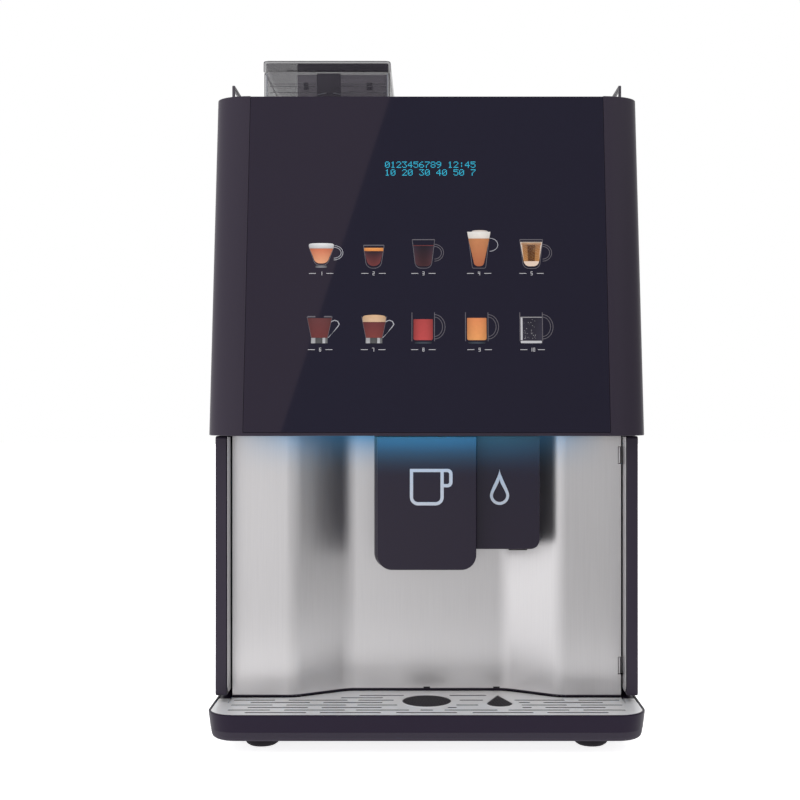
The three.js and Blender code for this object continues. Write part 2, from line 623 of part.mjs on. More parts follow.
function coffeeCover() {
  const { front, bottom, half, corner } = COFFEE_COVER;
  const outline = (inset) => {
    const round = corner - inset;
    return roundedBottom(-half + inset, half - inset, bottom + inset, COVER_TOP, round, round);
  };
  const layers = [prismY(outline(0), front, front + 14, 6), prismY(outline(0), front + 14, -150, 6)];
  const outer = join(...layers.map((g) => flared(g, COFFEE_COVER)));
  const inner = flared(prismY(outline(COVER_WALL), front + COVER_WALL, -150, 6), COFFEE_COVER);
  const ceiling = block([-80, -300, COVER_TOP - COVER_WALL], [80, -100, COVER_TOP + 8]);
  const mouth = block([-26, front + 8, bottom - 5], [26, front + 46, bottom + 9]);
  return cut(outer, cut(inner, ceiling), mouth, behindStation(-GAP, 0, 0, 400));
}

function waterCover() {
  const { front, bottom, left, right, corner } = WATER_COVER;
  const outline = (inset) => roundedBottom(left + inset, right - inset, bottom + inset, COVER_TOP, 0, corner - inset);
  const outer = prismY(outline(0), front, -150, 6);
  const inner = prismY(outline(COVER_WALL), front + COVER_WALL, -150, 6);
  const ceiling = block([0, -300, COVER_TOP - COVER_WALL], [200, -100, COVER_TOP + 8]);
  const mouth = block([DROP.x - 11, front + 6, bottom - 5], [DROP.x + 11, front + 32, bottom + 9]);
  return cut(outer, cut(inner, ceiling), mouth, behindStation(-GAP, 0, 0, 400));
}

add("cup_station_panel", stationPanel(), "steel");
add("station_backing", stationBacking(), "blackPlastic");
add("station_hinge_lower", stationHinge(KNUCKLES[0]), "steel");
add("station_hinge_upper", stationHinge(KNUCKLES[1]), "steel");
add("coffee_nozzle_cover", coffeeCover(), "coverPlastic");
add("water_nozzle_cover", waterCover(), "coverPlastic");

// ---------------------------------------------------------------- bean hopper

function hopperBin() {
  const { x, y, half, depth, floor, top, wall, throat, neck } = HOPPER;
  const [x0, x1, y0, y1] = [x - half, x + half, y - depth / 2, y + depth / 2];
  const tub = prismZ(rounded(x0, y0, x1, y1, 6), floor, top - GAP, 4);
  const room = prismZ(rounded(x0 + wall, y0 + wall, x1 - wall, y1 - wall, 4), floor + wall, top + 5, 4);
  const funnel = frustum([x, y, 650, throat + wall, throat + wall], [x, y, floor + 1, 48, 66]);
  const inside = frustum([x, y, 649.9, throat, throat], [x, y, floor + wall + 0.1, 46, 64]);
  const outerThroat = throat + wall;
  const tube = block([x - outerThroat, y - outerThroat, neck], [x + outerThroat, y + outerThroat, 651]);
  const sleeve = block([x - outerThroat, y - GATE.sleeve, GATE.z - 4], [x + outerThroat, y, GATE.z + GATE.thick + 4]);
  const bore = block([x - throat, y - throat, neck - 5], [x + throat, y + throat, 652]);
  const gateSlot = block([x - throat, y - 60, GATE.z - GAP], [x + throat, y + throat + 0.8, GATE.z + GATE.thick + GAP]);
  const post = block([x - 15, y0 + wall - 1, floor + 1], [x + 15, y0 + 24, top - 4]);
  return join(cut(join(tub, funnel, tube, sleeve), room, inside, bore, gateSlot), post);
}

function hopperLid() {
  const { x, y, half, depth, top, wall } = HOPPER;
  const [x0, x1, y0, y1] = [x - half - 0.9, x + half + 0.9, y - depth / 2 - 0.9, y + depth / 2 + 0.9];
  const cap = prismZ(rounded(x0, y0, x1, y1, 7), top, LID_TOP, 4);
  const under = prismZ(rounded(x0 + wall, y0 + wall, x1 - wall, y1 - wall, 5), top - 1, LID_TOP - wall, 4);
  return cut(cap, under);
}

function hopperGate() {
  const { x, y, throat } = HOPPER;
  const front = y - GATE.sleeve - GATE.travel - 0.5;
  const blade = block([x - throat + GAP, front, GATE.z], [x + throat - GAP, y - throat - 0.3, GATE.z + GATE.thick]);
  const pull = block([x - 15, front - 7, GATE.z - 4], [x + 15, front, GATE.z + GATE.thick + 4]);
  return join(blade, pull);
}

add("hopper_bin", hopperBin(), "smoked");
add("hopper_lid", hopperLid(), "smoked");
add("hopper_gate", hopperGate(), "blackPlastic");

// ---------------------------------------------------------------- drink-making units

function grinderHousing() {
  const { x, y } = HOPPER;
  const body = turned(x, y, [[0, 430], [36, 430], [38, 434], [38, 518], [50, 526], [50, 606], [46, 612], [0, 612]]);
  const chamber = turned(x, y, [[0, 548], [34, 548], [34, 600], [30, 616], [0, 616]]);
  const chute = block([x - 12, -115, SHELF.z + SHELF.thick + GAP], [x + 12, -101, 565]);
  const chuteEntry = block([x - 12, -103, 545], [x + 12, -95, 565]);
  const chuteBore = block([x - 9, -112, 320], [x + 9, -104, 562]);
  const chuteOpening = block([x - 9, -112, 549], [x + 9, -92, 562]);
  const foot = block([x - 60, y - 20, SHELF.z + SHELF.thick + GAP], [x + 60, y + 44, 360]);
  const column = block([x - 26, y - 14, 355], [x + 26, y + 30, 440]);
  return cut(join(body, chute, chuteEntry, foot, column), chamber, chuteBore, chuteOpening);
}

function grinderBurr() {
  const { x, y } = HOPPER;
  const cone = turned(x, y, [[0, 550], [26, 550], [26, 560], [14, 592], [0, 594]], 16);
  const grooves = Array.from({ length: 4 }, (_, i) =>
    block([-40, -2, 562], [40, 2, 600])
      .rotateZ((i * Math.PI) / 4)
      .translate(x, y, 0),
  );
  const kept = turned(x, y, [[0, 540], [12, 540], [12, 610], [0, 610]], 16);
  return cut(cone, ...grooves.map((g) => cut(g, kept)));
}

// Side plates, a bridge and the brewing chamber, open below for the piston.
function brewFrame() {
  const { x, y } = BREWER;
  const plates = [-58, 50].map((dx) => block([x + dx, y - 36, 150], [x + dx + 8, y + 46, SHELF.z - GAP]));
  const bridge = block([x - 54, y - 36, 262], [x + 54, y + 36, 300]);
  const floor = block([x - 54, y + 20, 150], [x + 54, y + 46, 158]);
  const chamber = rodZ(x, y, 214, 290, 34);
  const bore = rodZ(x, y, 200, 284, 28.5);
  return cut(join(...plates, bridge, floor, chamber), bore);
}

function brewPiston() {
  const { x, y } = BREWER;
  return join(rodZ(x, y, 170, 232, 10), rodZ(x, y, 224, 240, 28), block([x - 44, y - 9, 164], [x + 44, y + 9, 174]));
}

function wasteBin() {
  const [x, y, bottom] = [-112, -28, PAN_FLOOR + GAP];
  const outer = frustum([x, y, bottom, 82, 98], [x, y, 142, 92, 112]);
  const inner = frustum([x, y, bottom + 3, 79.2, 95.2], [x, y, 144, 89.2, 109.2]);
  const grip = block([-150, -146, 128], [-74, -138, 141]);
  return join(cut(outer, inner), cut(grip, inner));
}

function boiler() {
  const shell = [[0, 70], [50, 70], [58, 78], [58, 286], [48, 298], [0, 302]];
  const flange = rodZ(140, 170, 180, 188, 62);
  const ports = [-24, 24].map((dx) => rodZ(140 + dx, 170, 290, 322, 6, 16));
  const stand = rodZ(140, 170, PAN_FLOOR + GAP, 74, 30);
  return join(turned(140, 170, shell), flange, ...ports, stand);
}

function powerSupply() {
  const body = block([60, -140, PAN_FLOOR + GAP], [206, -20, 220]);
  const fins = Array.from({ length: 7 }, (_, i) => block([70, -146, 74 + i * 20], [196, -136, 80 + i * 20]));
  return cut(body, ...fins);
}

function canister() {
  const { half, front, rear, bottom, top, wall, spout, spoutY } = CANISTER;
  const section = (inset) => {
    const r = half - inset;
    const s = new THREE.Shape();
    s.moveTo(-r, top + inset);
    s.lineTo(-r, bottom + half);
    s.absarc(0, bottom + half, r, Math.PI, 2 * Math.PI);
    s.lineTo(r, top + inset);
    return s;
  };
  const outer = prismY(section(0), front, rear, 8);
  const inner = prismY(section(wall), front + wall, rear - wall, 8);
  const spoutTube = rodZ(0, spoutY, 442, bottom + 12, spout, 16);
  const spoutBore = rodZ(0, spoutY, 430, bottom + 20, spout - 2.5, 16);
  const shaftHole = rodY(0, rear - 10, rear + 10, bottom + half, AUGER.shaft + 1.2, 16);
  return cut(join(outer, spoutTube), inner, spoutBore, shaftHole);
}

// A shaft with slanted blades along it.
function auger() {
  const { r, shaft, pitch, blades, slant } = AUGER;
  const axisZ = CANISTER.bottom + CANISTER.half;
  const middle = (CANISTER.front + CANISTER.rear) / 2;
  const discs = Array.from({ length: blades }, (_, i) =>
    new THREE.CylinderGeometry(r, r, 2, 18)
      .rotateX(i % 2 ? slant : -slant)
      .translate(0, middle + (i - (blades - 1) / 2) * pitch, axisZ),
  );
  return join(rodY(0, CANISTER.front + 8, CANISTER.rear + 8, axisZ, shaft, 12), ...discs);
}

// The shelf that the canisters stand on, and the motors behind them.
function augerDrive() {
  const y = CANISTER.rear + 9;
  const axisZ = CANISTER.bottom + CANISTER.half;
  const plate = block([-20, y, 440], [212, y + 3, 560]);
  const motors = CANISTER_XS.map((x) => rodY(x, y + 2, y + 48, axisZ, 24));
  const leg = block([-20, y, SHELF.z + SHELF.thick + GAP], [212, y + 3, 442]);
  const shelf = block([-20, -30, CANISTER.bottom - GAP - 3], [212, y + 2, CANISTER.bottom - GAP]);
  return join(plate, leg, shelf, ...motors);
}

// A wide funnel under the three spouts, with the whipping chamber below it and a pipe down to the nozzle.
function mixingBowl() {
  const [x, middle] = [WHIP.x, CANISTER_XS[1]];
  const outer = frustum([x, -52, 384, 26, 26], [middle, -52, 436, 100, 30]);
  const inner = frustum([x, -52, 383.9, 22, 22], [middle, -52, 437, 97, 27]);
  const chamber = rodY(x, -96, -26, WHIP.z, WHIP.r + 3);
  const bore = rodY(x, -93, -20, WHIP.z, WHIP.r);
  const outlet = join(rodY(x, -124, -90, WHIP.z - 10, 8, 16), rodZ(x, -116, 304, WHIP.z - 6, 8, 16));
  const outletBore = join(rodY(x, -119, -80, WHIP.z - 10, 5.5, 16), rodZ(x, -116, 300, WHIP.z - 10, 5.5, 16));
  const throatCut = block([x - 16, -72, WHIP.z], [x + 16, -36, 390]);
  const stand = block([x - 14, -60, SHELF.z + SHELF.thick + GAP], [x + 14, -40, 344]);
  return cut(join(outer, chamber, outlet, stand), inner, bore, outletBore, throatCut);
}

function whipper() {
  const shaft = rodY(WHIP.x, -80, -14, WHIP.z, 3.4, 12);
  const disc = rodY(WHIP.x, -74, -70, WHIP.z, 17, 20);
  const blades = [0, 1].map((i) =>
    block([-15, -84, -1.5], [15, -72, 1.5])
      .rotateY((i * Math.PI) / 2)
      .translate(WHIP.x, 0, WHIP.z),
  );
  return join(shaft, disc, ...blades);
}

function mixerMotor() {
  const body = rodY(WHIP.x, -12, 44, WHIP.z, 25);
  const bracket = block([WHIP.x - 30, -14, SHELF.z + SHELF.thick + GAP], [WHIP.x + 30, -10, 392]);
  const bore = rodY(WHIP.x, -30, 10, WHIP.z, 4.4, 16);
  return cut(join(body, bracket), bore);
}

function coffeeNozzle() {
  const arm = block([-22, -206, 268], [22, -128, 300]);
  const manifold = block([-22, -140, 268], [WHIP.x + 12, -104, 300]);
  const hanger = block([-20, -142, 298], [16, -130, SHELF.z - GAP]);
  const cupUnderPipe = rodZ(WHIP.x, -116, 290, 310, 9.5, 16);
  const head = rodZ(0, CUP.y, 262, 300, 22);
  const spouts = [-9, 9].map((x) => rodZ(x, CUP.y, 226, 264, 6, 16));
  const bores = [-9, 9].map((x) => rodZ(x, CUP.y, 220, 270, 3.5, 12));
  return cut(join(arm, manifold, hanger, head, ...spouts), ...bores, cupUnderPipe);
}

function waterSpout() {
  const arm = rodY(DROP.x, -205, -120, 290, 6, 16);
  const drop = rodZ(DROP.x, -203, 232, 294, 6, 16);
  const hanger = block([DROP.x - 5, -142, 290], [DROP.x + 5, -130, SHELF.z - GAP]);
  return cut(join(arm, drop, hanger), rodZ(DROP.x, -203, 225, 286, 4, 12));
}

// The brewer's coffee outlet to the nozzle, as a hose with its own bends.
function coffeeHose() {
  const points = [[-92, -126, 277], [-84, -130, 277], [-66, -130, 280], [-46, -124, 284], [-34, -122, 284], [-22.4, -122, 284]];
  const path = new THREE.CatmullRomCurve3(points.map((p) => new THREE.Vector3(...p)));
  const ring = new THREE.Shape().absarc(0, 0, 5, 0, 2 * Math.PI);
  return new THREE.ExtrudeGeometry(ring, { steps: 26, extrudePath: path, curveSegments: 5, bevelEnabled: false });
}

add("grinder_housing", grinderHousing(), "motor");
add("grinder_burr", grinderBurr(), "zinc");
add("brew_frame", brewFrame(), "greyPlastic");
add("brew_piston", brewPiston(), "zinc");
add("waste_bin", wasteBin(), "blackPlastic");
add("boiler", boiler(), "steel");
add("power_supply", powerSupply(), "zinc");
CANISTER_XS.forEach((x, i) => {
  add(`canister_${CANISTER_NAMES[i]}`, canister(), "clearCanister", [x, 0, 0]);
  add(`auger_${CANISTER_NAMES[i]}`, auger(), "greyPlastic", [x, 0, 0]);
});
add("auger_drive", augerDrive(), "motor");
add("mixing_bowl", mixingBowl(), "greyPlastic");
add("whipper", whipper(), "blackPlastic");
add("mixer_motor", mixerMotor(), "motor");
add("coffee_nozzle", coffeeNozzle(), "blackPlastic");
add("water_spout", waterSpout(), "steel");
add("coffee_hose", coffeeHose(), "silicone");

// ---------------------------------------------------------------- rear connections

function powerInlet() {
  const { x, z, halfX, halfZ } = INLET;
  const body = block([x - halfX + GAP, 250, z - halfZ + GAP], [x + halfX - GAP, CABINET_REAR + 1, z + halfZ - GAP]);
  const flange = block([x - halfX - 4, CABINET_REAR + GAP, z - halfZ - 4], [x + halfX + 4, REAR, z + halfZ + 4]);
  const socket = block([x - 11, 258, z - 20], [x + 11, REAR + 5, z - 2]);
  const pins = [-6, 0, 6].map((dx) => block([x + dx - 1, 255, z - 14], [x + dx + 1, 270, z - 8]));
  const switchWell = block([x - 10, 262, z + 3], [x + 10, REAR + 5, z + 19]);
  return join(cut(join(body, flange), socket, switchWell), ...pins);
}

const ROCKER = { y: 268.5, z: INLET.z + 11 };

function powerRocker() {
  const side = polygon([[-5, -6.4], [0.5, -6.8], [4.4, -5.2], [3.2, 0], [5.4, 5.2], [0.5, 6.8], [-5, 6.4]]);
  return prismX(side, -9, 9).translate(INLET.x, ROCKER.y, ROCKER.z);
}

function waterInlet() {
  const { x, z, r } = WATER_IN;
  const body = rodY(x, 240, REAR, z, r);
  const flange = rodY(x, 262, CABINET_REAR - SHEET - GAP, z, r + 6);
  return cut(join(body, flange), rodY(x, 236, REAR + 5, z, r - 4));
}

add("power_inlet", powerInlet(), "blackPlastic");
add("power_rocker", powerRocker(), "blackPlastic");
add("water_inlet", waterInlet(), "zinc");

export default machine;
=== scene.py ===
import math
import random

import bmesh
import bpy
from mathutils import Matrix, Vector


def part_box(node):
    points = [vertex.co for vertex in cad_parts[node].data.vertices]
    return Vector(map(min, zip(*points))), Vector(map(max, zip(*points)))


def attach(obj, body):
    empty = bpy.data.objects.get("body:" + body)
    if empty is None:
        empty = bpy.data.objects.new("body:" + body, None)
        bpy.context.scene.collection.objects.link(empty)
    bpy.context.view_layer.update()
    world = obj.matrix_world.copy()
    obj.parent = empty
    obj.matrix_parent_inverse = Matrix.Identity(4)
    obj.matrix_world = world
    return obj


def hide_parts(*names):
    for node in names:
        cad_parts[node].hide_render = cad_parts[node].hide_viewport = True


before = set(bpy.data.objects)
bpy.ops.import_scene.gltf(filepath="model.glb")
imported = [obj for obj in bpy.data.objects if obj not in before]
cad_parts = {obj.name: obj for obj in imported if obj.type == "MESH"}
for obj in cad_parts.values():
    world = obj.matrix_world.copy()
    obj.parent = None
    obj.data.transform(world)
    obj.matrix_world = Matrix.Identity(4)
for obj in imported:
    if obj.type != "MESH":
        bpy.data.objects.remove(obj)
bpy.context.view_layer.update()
random.seed(7)

MM = 0.001


def box_mm(node):
    """The lowest and highest corner of a CAD node, in millimetres."""
    low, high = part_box(node)
    return [v / MM for v in low], [v / MM for v in high]


# ---------------------------------------------------------------- measures, in millimetres

(_, FASCIA_FRONT, FASCIA_LOW), (GLASS_HALF, FASCIA_BACK, FASCIA_HIGH) = box_mm("glass_fascia")
(_, DOOR_FRONT, DOOR_LOW), (DOOR_HALF, DOOR_BACK, DOOR_HIGH) = box_mm("door_shell")
GLASS_THICK = 4
RAKE = (FASCIA_BACK - GLASS_THICK - FASCIA_FRONT) / (FASCIA_HIGH - FASCIA_LOW)
TRIM_ROUND = 26
(_, TRAY_FRONT, TRAY_LOW), (TRAY_HALF, TRAY_REAR, RIM_TOP) = box_mm("drip_tray")
(_, GRID_FRONT, GRID_LOW), (GRID_HALF, _, GRID_TOP) = box_mm("drip_grid")
(_, PANEL_FRONT, PANEL_LOW), (PANEL_HALF, PANEL_BACK, PANEL_HIGH) = box_mm("cup_station_panel")
PANEL_SHEET = 1.5
BARREL = 1.7
PANEL_MIDDLE = PANEL_BACK - PANEL_SHEET
PANEL_INNER, PANEL_OUTER, PANEL_BEND = 86, 142, 18
CUP_X, CUP_Y, CUP_R = 0, -211, 27
DROP_X, DROP_Y, DROP_R, DROP_TIP = 76.6, -223, 14.5, -184
HOPPER_FLOOR = 679.4
HOPPER_WALL = 2.5


def face_y(z):
    """The Y of the glass's front face at height z."""
    return FASCIA_FRONT + RAKE * (z - FASCIA_LOW)


def linked(name, data):
    """A new object in the scene."""
    made = bpy.data.objects.new(name, data)
    bpy.context.scene.collection.objects.link(made)
    return made


# ---------------------------------------------------------------- camera

CAMERA_AWAY, CAMERA_HEIGHT = 1.514, 0.358

camera = linked("camera", bpy.data.cameras.new("camera"))
camera.location = (0, -CAMERA_AWAY, CAMERA_HEIGHT)
camera.rotation_euler = (math.radians(90), 0, 0)
camera.data.lens = 55.3
camera.data.sensor_width = 36
camera.data.shift_x = -0.0334
camera.data.shift_y = 0.0025
bpy.context.scene.camera = camera
bpy.context.scene.view_settings.view_transform = "Standard"

# ---------------------------------------------------------------- materials


def put(tree, kind, sockets, **settings):
    """A new shader node, with each input set to a value or joined to another node's output."""
    made = tree.nodes.new("ShaderNode" + kind)
    for key, value in settings.items():
        setattr(made, key, value)
    for key, value in sockets.items():
        if isinstance(value, bpy.types.NodeSocket):
            tree.links.new(value, made.inputs[key])
        else:
            made.inputs[key].default_value = value
    return made


def fading(tree, value, start, end, first, last):
    """The number that goes from first to last while value goes from start to end."""
    sockets = {"Value": value, "From Min": start, "From Max": end, "To Min": first, "To Max": last}
    return put(tree, "MapRange", sockets).outputs["Result"]


def times(tree, a, b):
    """The product of two numbers or outputs."""
    return put(tree, "Math", {0: a, 1: b}, operation="MULTIPLY").outputs["Value"]


def surface(name, color, rough, metal=0.0, vary=0.1, rough_vary=0.06, scale=900, bump=0.04,
            alpha=1.0, glow=0.0, detail=3, shine=0.5, cast=(1, 1, 1), blend=None, painted_lights=()):
    """A surface with fine variation in colour, roughness and height.

    scale is how many grains lie in a metre: one number, or three for a brushed grain. cast tints the gloss.
    blend is (x middle, half width, z0, z1, colour at z1, side share): the colour turns from z0 to z1, and the
    sides are darker. Each wash is (z0, z1, x middle, half width, colour, emission): painted light, a tint on
    upright faces that grows from z0 to z1 and fades to both sides in place of light that falls on them; the
    emission makes it glow.
    """
    mat = bpy.data.materials.new(name)
    mat.use_nodes = True
    tree = mat.node_tree
    bsdf = tree.nodes["Principled BSDF"]
    coords = put(tree, "TexCoord", {})
    place = coords.outputs["Object"]
    grain = scale if isinstance(scale, tuple) else (scale,) * 3
    spread = put(tree, "Mapping", {"Vector": place, "Scale": grain}).outputs["Vector"]
    noise = put(tree, "TexNoise", {"Vector": spread, "Scale": 1, "Detail": detail}).outputs["Fac"]
    level = fading(tree, noise, 0, 1, 1 - vary, 1 + vary)
    axes = put(tree, "SeparateXYZ", {"Vector": place})
    tint = color[:3]
    if blend:
        middle, half, z0, z1, upper, sides = blend
        height = fading(tree, axes.outputs["Z"], z0 * MM, z1 * MM, 0, 1)
        both = {"Fac": height, "Color1": (*color, 1), "Color2": (*upper, 1)}
        tint = put(tree, "MixRGB", both).outputs["Color"]
        aside = fading(tree, axes.outputs["X"], (middle - half) * MM, (middle + half) * MM, -1, 1)
        level = times(tree, level, fading(tree, times(tree, aside, aside), 0, 1, 1, 1 - sides))
    paint = put(tree, "VectorMath", {0: tint, "Scale": level}, operation="SCALE").outputs["Vector"]
    # Painted light: each wash mixes its colour into upright faces, and its emission makes them glow.
    for z0, z1, middle, half, light, emission in painted_lights:
        height = fading(tree, axes.outputs["Z"], z0 * MM, z1 * MM, 0, 1)
        aside = fading(tree, axes.outputs["X"], (middle - half) * MM, (middle + half) * MM, -1, 1)
        near = fading(tree, times(tree, aside, aside), 0, 1, 1, 0)
        upward = put(tree, "SeparateXYZ", {"Vector": coords.outputs["Normal"]}).outputs["Z"]
        upright = fading(tree, upward, 0.3, 0.8, 1, 0)
        share = times(tree, times(tree, times(tree, height, height), near), upright)
        paint = put(tree, "MixRGB", {"Fac": share, "Color1": paint, "Color2": (*light, 1)}).outputs["Color"]
        if emission:
            bsdf.inputs["Emission Color"].default_value = (*light, 1)
            tree.links.new(times(tree, share, emission), bsdf.inputs["Emission Strength"])
    tree.links.new(paint, bsdf.inputs["Base Color"])
    dullness = fading(tree, noise, 0, 1, max(0, rough - rough_vary), rough + rough_vary)
    tree.links.new(dullness, bsdf.inputs["Roughness"])
    if bump:
        relief = put(tree, "Bump", {"Strength": bump, "Distance": 0.0001, "Height": noise})
        tree.links.new(relief.outputs["Normal"], bsdf.inputs["Normal"])
    bsdf.inputs["Metallic"].default_value = metal
    bsdf.inputs["Specular IOR Level"].default_value = shine
    bsdf.inputs["Specular Tint"].default_value = (*cast, 1)
    bsdf.inputs["Alpha"].default_value = alpha
    if glow:
        tree.links.new(paint, bsdf.inputs["Emission Color"])
        bsdf.inputs["Emission Strength"].default_value = glow
    return mat


BRUSHED = (1000, 1000, 18)
M = {
    "trim": surface("trim_plastic", (0.0265, 0.0195, 0.0345), 0.4, vary=0.05, scale=1500, bump=0.03,
                    shine=0.25),
    "glass": surface("black_glass", (0.0092, 0.0112, 0.0245), 0.03, vary=0.03, rough_vary=0.01, scale=30,
                     bump=0, shine=0.3, cast=(1, 0.68, 0.7)),
    # The covers' wash is painted light: the chin light's blue on their upper part, with a faint glow.
    "cover": surface("cover_plastic", (0.0145, 0.0095, 0.0225), 0.34, vary=0.06, scale=1400, bump=0.02,
                     shine=0.3, painted_lights=[(278, 322, -8, 190, (0.032, 0.14, 0.22), 0.12)]),
    "black": surface("black_plastic", (0.0115, 0.0062, 0.0185), 0.42, vary=0.08, scale=1200, bump=0.05,
                     shine=0.14),
    "grained": surface("grained_plastic", (0.021, 0.0155, 0.028), 0.62, vary=0.2, scale=700, bump=0.35,
                       shine=0.25),
    # Dark plastic of the clips and of the water cover's lip, also used as the painted shade in the grid's
    # slots.
    "dark": surface("dark_plastic_and_slot_shade", (0.012, 0.01, 0.014), 0.6, vary=0.1, bump=0.05, shine=0.3),
    # Painted light on the steel: the first wash is the chin light's blue on the panel's top, glowing a
    # little; the second, a painted reflection, lightens the panel towards its bottom.
    "steel": surface("brushed_steel", (0.55, 0.536, 0.545), 0.34, 1, 0.07, 0.08, BRUSHED, 0.05, detail=5,
                     painted_lights=[(276, 321, -8, 200, (0.09, 0.28, 0.5), 0.25),
                             (150, 42, -90, 330, (0.72, 0.7, 0.705), 0)]),
    "strip": surface("polished_strip", (0.56, 0.55, 0.56), 0.3, 1, 0.05, 0.06, BRUSHED, 0.04, detail=5),
    "grid": surface("grid_steel", (0.86, 0.845, 0.845), 0.42, 0.4, 0.05, 0.07, (18, 1000, 1000), 0.06,
                    detail=5),
    "mesh": surface("mesh_insert", (0.018, 0.015, 0.022), 0.5, 0.3, bump=0.05, shine=0.3),
    "paint": surface("powder_coat", (0.026, 0.021, 0.031), 0.5, 0.1, 0.08, 0.06, 800, 0.2, shine=0.35),
    "rail": surface("rail_coat", (0.07, 0.063, 0.078), 0.45, 0.1, 0.06, 0.05, 800, 0.1, shine=0.35),
    "zinc": surface("zinc_plate", (0.36, 0.365, 0.38), 0.42, 0.9, 0.12, 0.1, 120, 0.05),
    "rubber": surface("rubber", (0.012, 0.01, 0.014), 0.8, vary=0.15, bump=0.2, shine=0.2),
    "smoked": surface("smoked_plastic", (0.078, 0.073, 0.09), 0.1, vary=0.03, rough_vary=0.02, alpha=0.33,
                      bump=0, shine=0.3),
    "lid": surface("smoked_lid", (0.045, 0.041, 0.052), 0.16, vary=0.04, rough_vary=0.03, alpha=0.43, bump=0,
                   shine=0.3),
    "screen_wall": surface("hopper_shade_sheet", (0.37, 0.34, 0.385), 0.4, vary=0.02, bump=0, shine=0.2),
    "edge": surface("smoked_edge", (0.2, 0.2, 0.21), 0.2, vary=0.05, alpha=0.5, bump=0.02, shine=0.4),
    "column": surface("hopper_column", (0.031, 0.022, 0.041), 0.4, vary=0.06, bump=0.03, shine=0.2),
    "grey": surface("grey_plastic", (0.3, 0.31, 0.33), 0.5, vary=0.06, bump=0.06),
    "clear": surface("canister_plastic", (0.75, 0.78, 0.8), 0.22, vary=0.03, alpha=0.25, bump=0.02),
    "motor": surface("motor_housing", (0.05, 0.052, 0.056), 0.45, 0.5, bump=0.08),
    "silicone": surface("silicone", (0.72, 0.69, 0.64), 0.5, vary=0.05, bump=0.05),
    "icon": surface("icon_grey", (0.5, 0.53, 0.6), 0.4, vary=0.03, scale=300, bump=0.02),
    "light": surface("light_strip", (0.1, 0.52, 0.95), 0.4, vary=0.05, scale=20, bump=0, glow=5.0),
    "screen": surface("dot_matrix", (0.012, 0.34, 0.5), 0.4, vary=0.1, scale=500, bump=0, glow=0.6),
    "board": surface("circuit_board", (0.02, 0.12, 0.05), 0.45, vary=0.3, scale=300, bump=0.1),
    "insulation": surface("boiler_insulation", (0.16, 0.15, 0.15), 0.85, vary=0.25, scale=260, bump=0.6),
    "floor": surface("floor", (0.93, 0.93, 0.93), 0.8, vary=0.01, scale=3, bump=0, glow=0.9, shine=0.2),
}


def ink(name, color, blend=None):
    """Print on the glass: a dull surface with hardly any grain."""
    return surface("print_" + name, color, 0.4, vary=0.08, rough_vary=0.03, scale=260, bump=0, shine=0.2,
                   blend=blend)


POWDERS = (("milk", (0.82, 0.79, 0.7), 0.1), ("chocolate", (0.16, 0.07, 0.035), 0.2),
           ("tea", (0.42, 0.2, 0.07), 0.2))
for kind, powder, spread in POWDERS:
    M[kind] = surface(kind + "_powder", powder, 0.9, vary=spread, scale=500, bump=0.5)

INKS = {
    "glass_line": ink("glass_line", (0.14, 0.13, 0.15)),
    "bright_line": ink("bright_line", (0.42, 0.42, 0.46)),
    "red_line": ink("red_line", (0.16, 0.035, 0.035)),
    "metal": ink("metal", (0.36, 0.35, 0.37)),
    "label": ink("label", (0.55, 0.54, 0.57)),
}

# ---------------------------------------------------------------- meshes


def finished(name, mesh, material, body, slot, smooth=35, replaces=None):
    """Turns a mesh in millimetres into a piece that rides on a body and may replace a CAD node."""
    mesh.transform(((MM, 0, 0, 0), (0, MM, 0, 0), (0, 0, MM, 0), (0, 0, 0, 1)))
    b = bmesh.new()
    b.from_mesh(mesh)
    bmesh.ops.remove_doubles(b, verts=b.verts, dist=1e-7)
    bmesh.ops.recalc_face_normals(b, faces=b.faces)
    b.to_mesh(mesh)
    b.free()
    mesh.polygons.foreach_set("use_smooth", [True] * len(mesh.polygons))
    mesh.set_sharp_from_angle(angle=math.radians(smooth))
    mesh.materials.clear()
    mesh.materials.append(M.get(material) or INKS[material])
    piece = linked(name, mesh)
    flat = piece.modifiers.new("flat", "WEIGHTED_NORMAL")
    flat.keep_sharp = True
    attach(piece, body)
    if replaces:
        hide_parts(replaces)


def hopper_part(name, mesh, material, body="hopper", **settings):
    finished(name, mesh, material, body, "smoked", **settings)


AXES = {
    "Z": lambda u, v, w: (u, v, w),
    "Y": lambda u, v, w: (u, w, v),
    "X": lambda u, v, w: (w, u, v),
}


def curve_mesh(curve):
    """The mesh of a curve, with its bevel."""
    holder = linked("curve", curve)
    mesh = bpy.data.meshes.new_from_object(holder.evaluated_get(bpy.context.evaluated_depsgraph_get()))
    bpy.data.objects.remove(holder)
    return mesh


def bent(mesh, rule):
    """The mesh with each point moved to where the rule puts it."""
    for v in mesh.vertices:
        v.co = Vector(rule(*v.co))
    return mesh


def plate(outline, w0, w1, axis="Z", holes=(), edge=0.3, steps=2):
    """A mesh of an outline with holes, from w0 to w1 along the axis, with rounded edges."""
    curve = bpy.data.curves.new("outline", "CURVE")
    curve.dimensions = "2D"
    curve.fill_mode = "BOTH"
    edge = min(edge, (w1 - w0) / 2 - 0.001)
    curve.extrude = (w1 - w0) / 2 - edge
    curve.bevel_depth = edge
    curve.bevel_resolution = steps - 1
    curve.offset = -edge
    for points in (outline, *holes):
        spline = curve.splines.new("POLY")
        spline.points.add(len(points) - 1)
        spline.use_cyclic_u = True
        for point, (u, v) in zip(spline.points, points):
            point.co = (u, v, 0, 1)
    middle = (w0 + w1) / 2
    return bent(curve_mesh(curve), lambda u, v, w: AXES[axis](u, v, w + middle))


def arc(cx, cy, r, a0, a1, n, ry=None):
    """Points of an arc, with angles in degrees."""
    ry = r if ry is None else ry
    angles = [math.radians(a0 + (a1 - a0) * i / n) for i in range(n + 1)]
    return [(cx + r * math.cos(a), cy + ry * math.sin(a)) for a in angles]


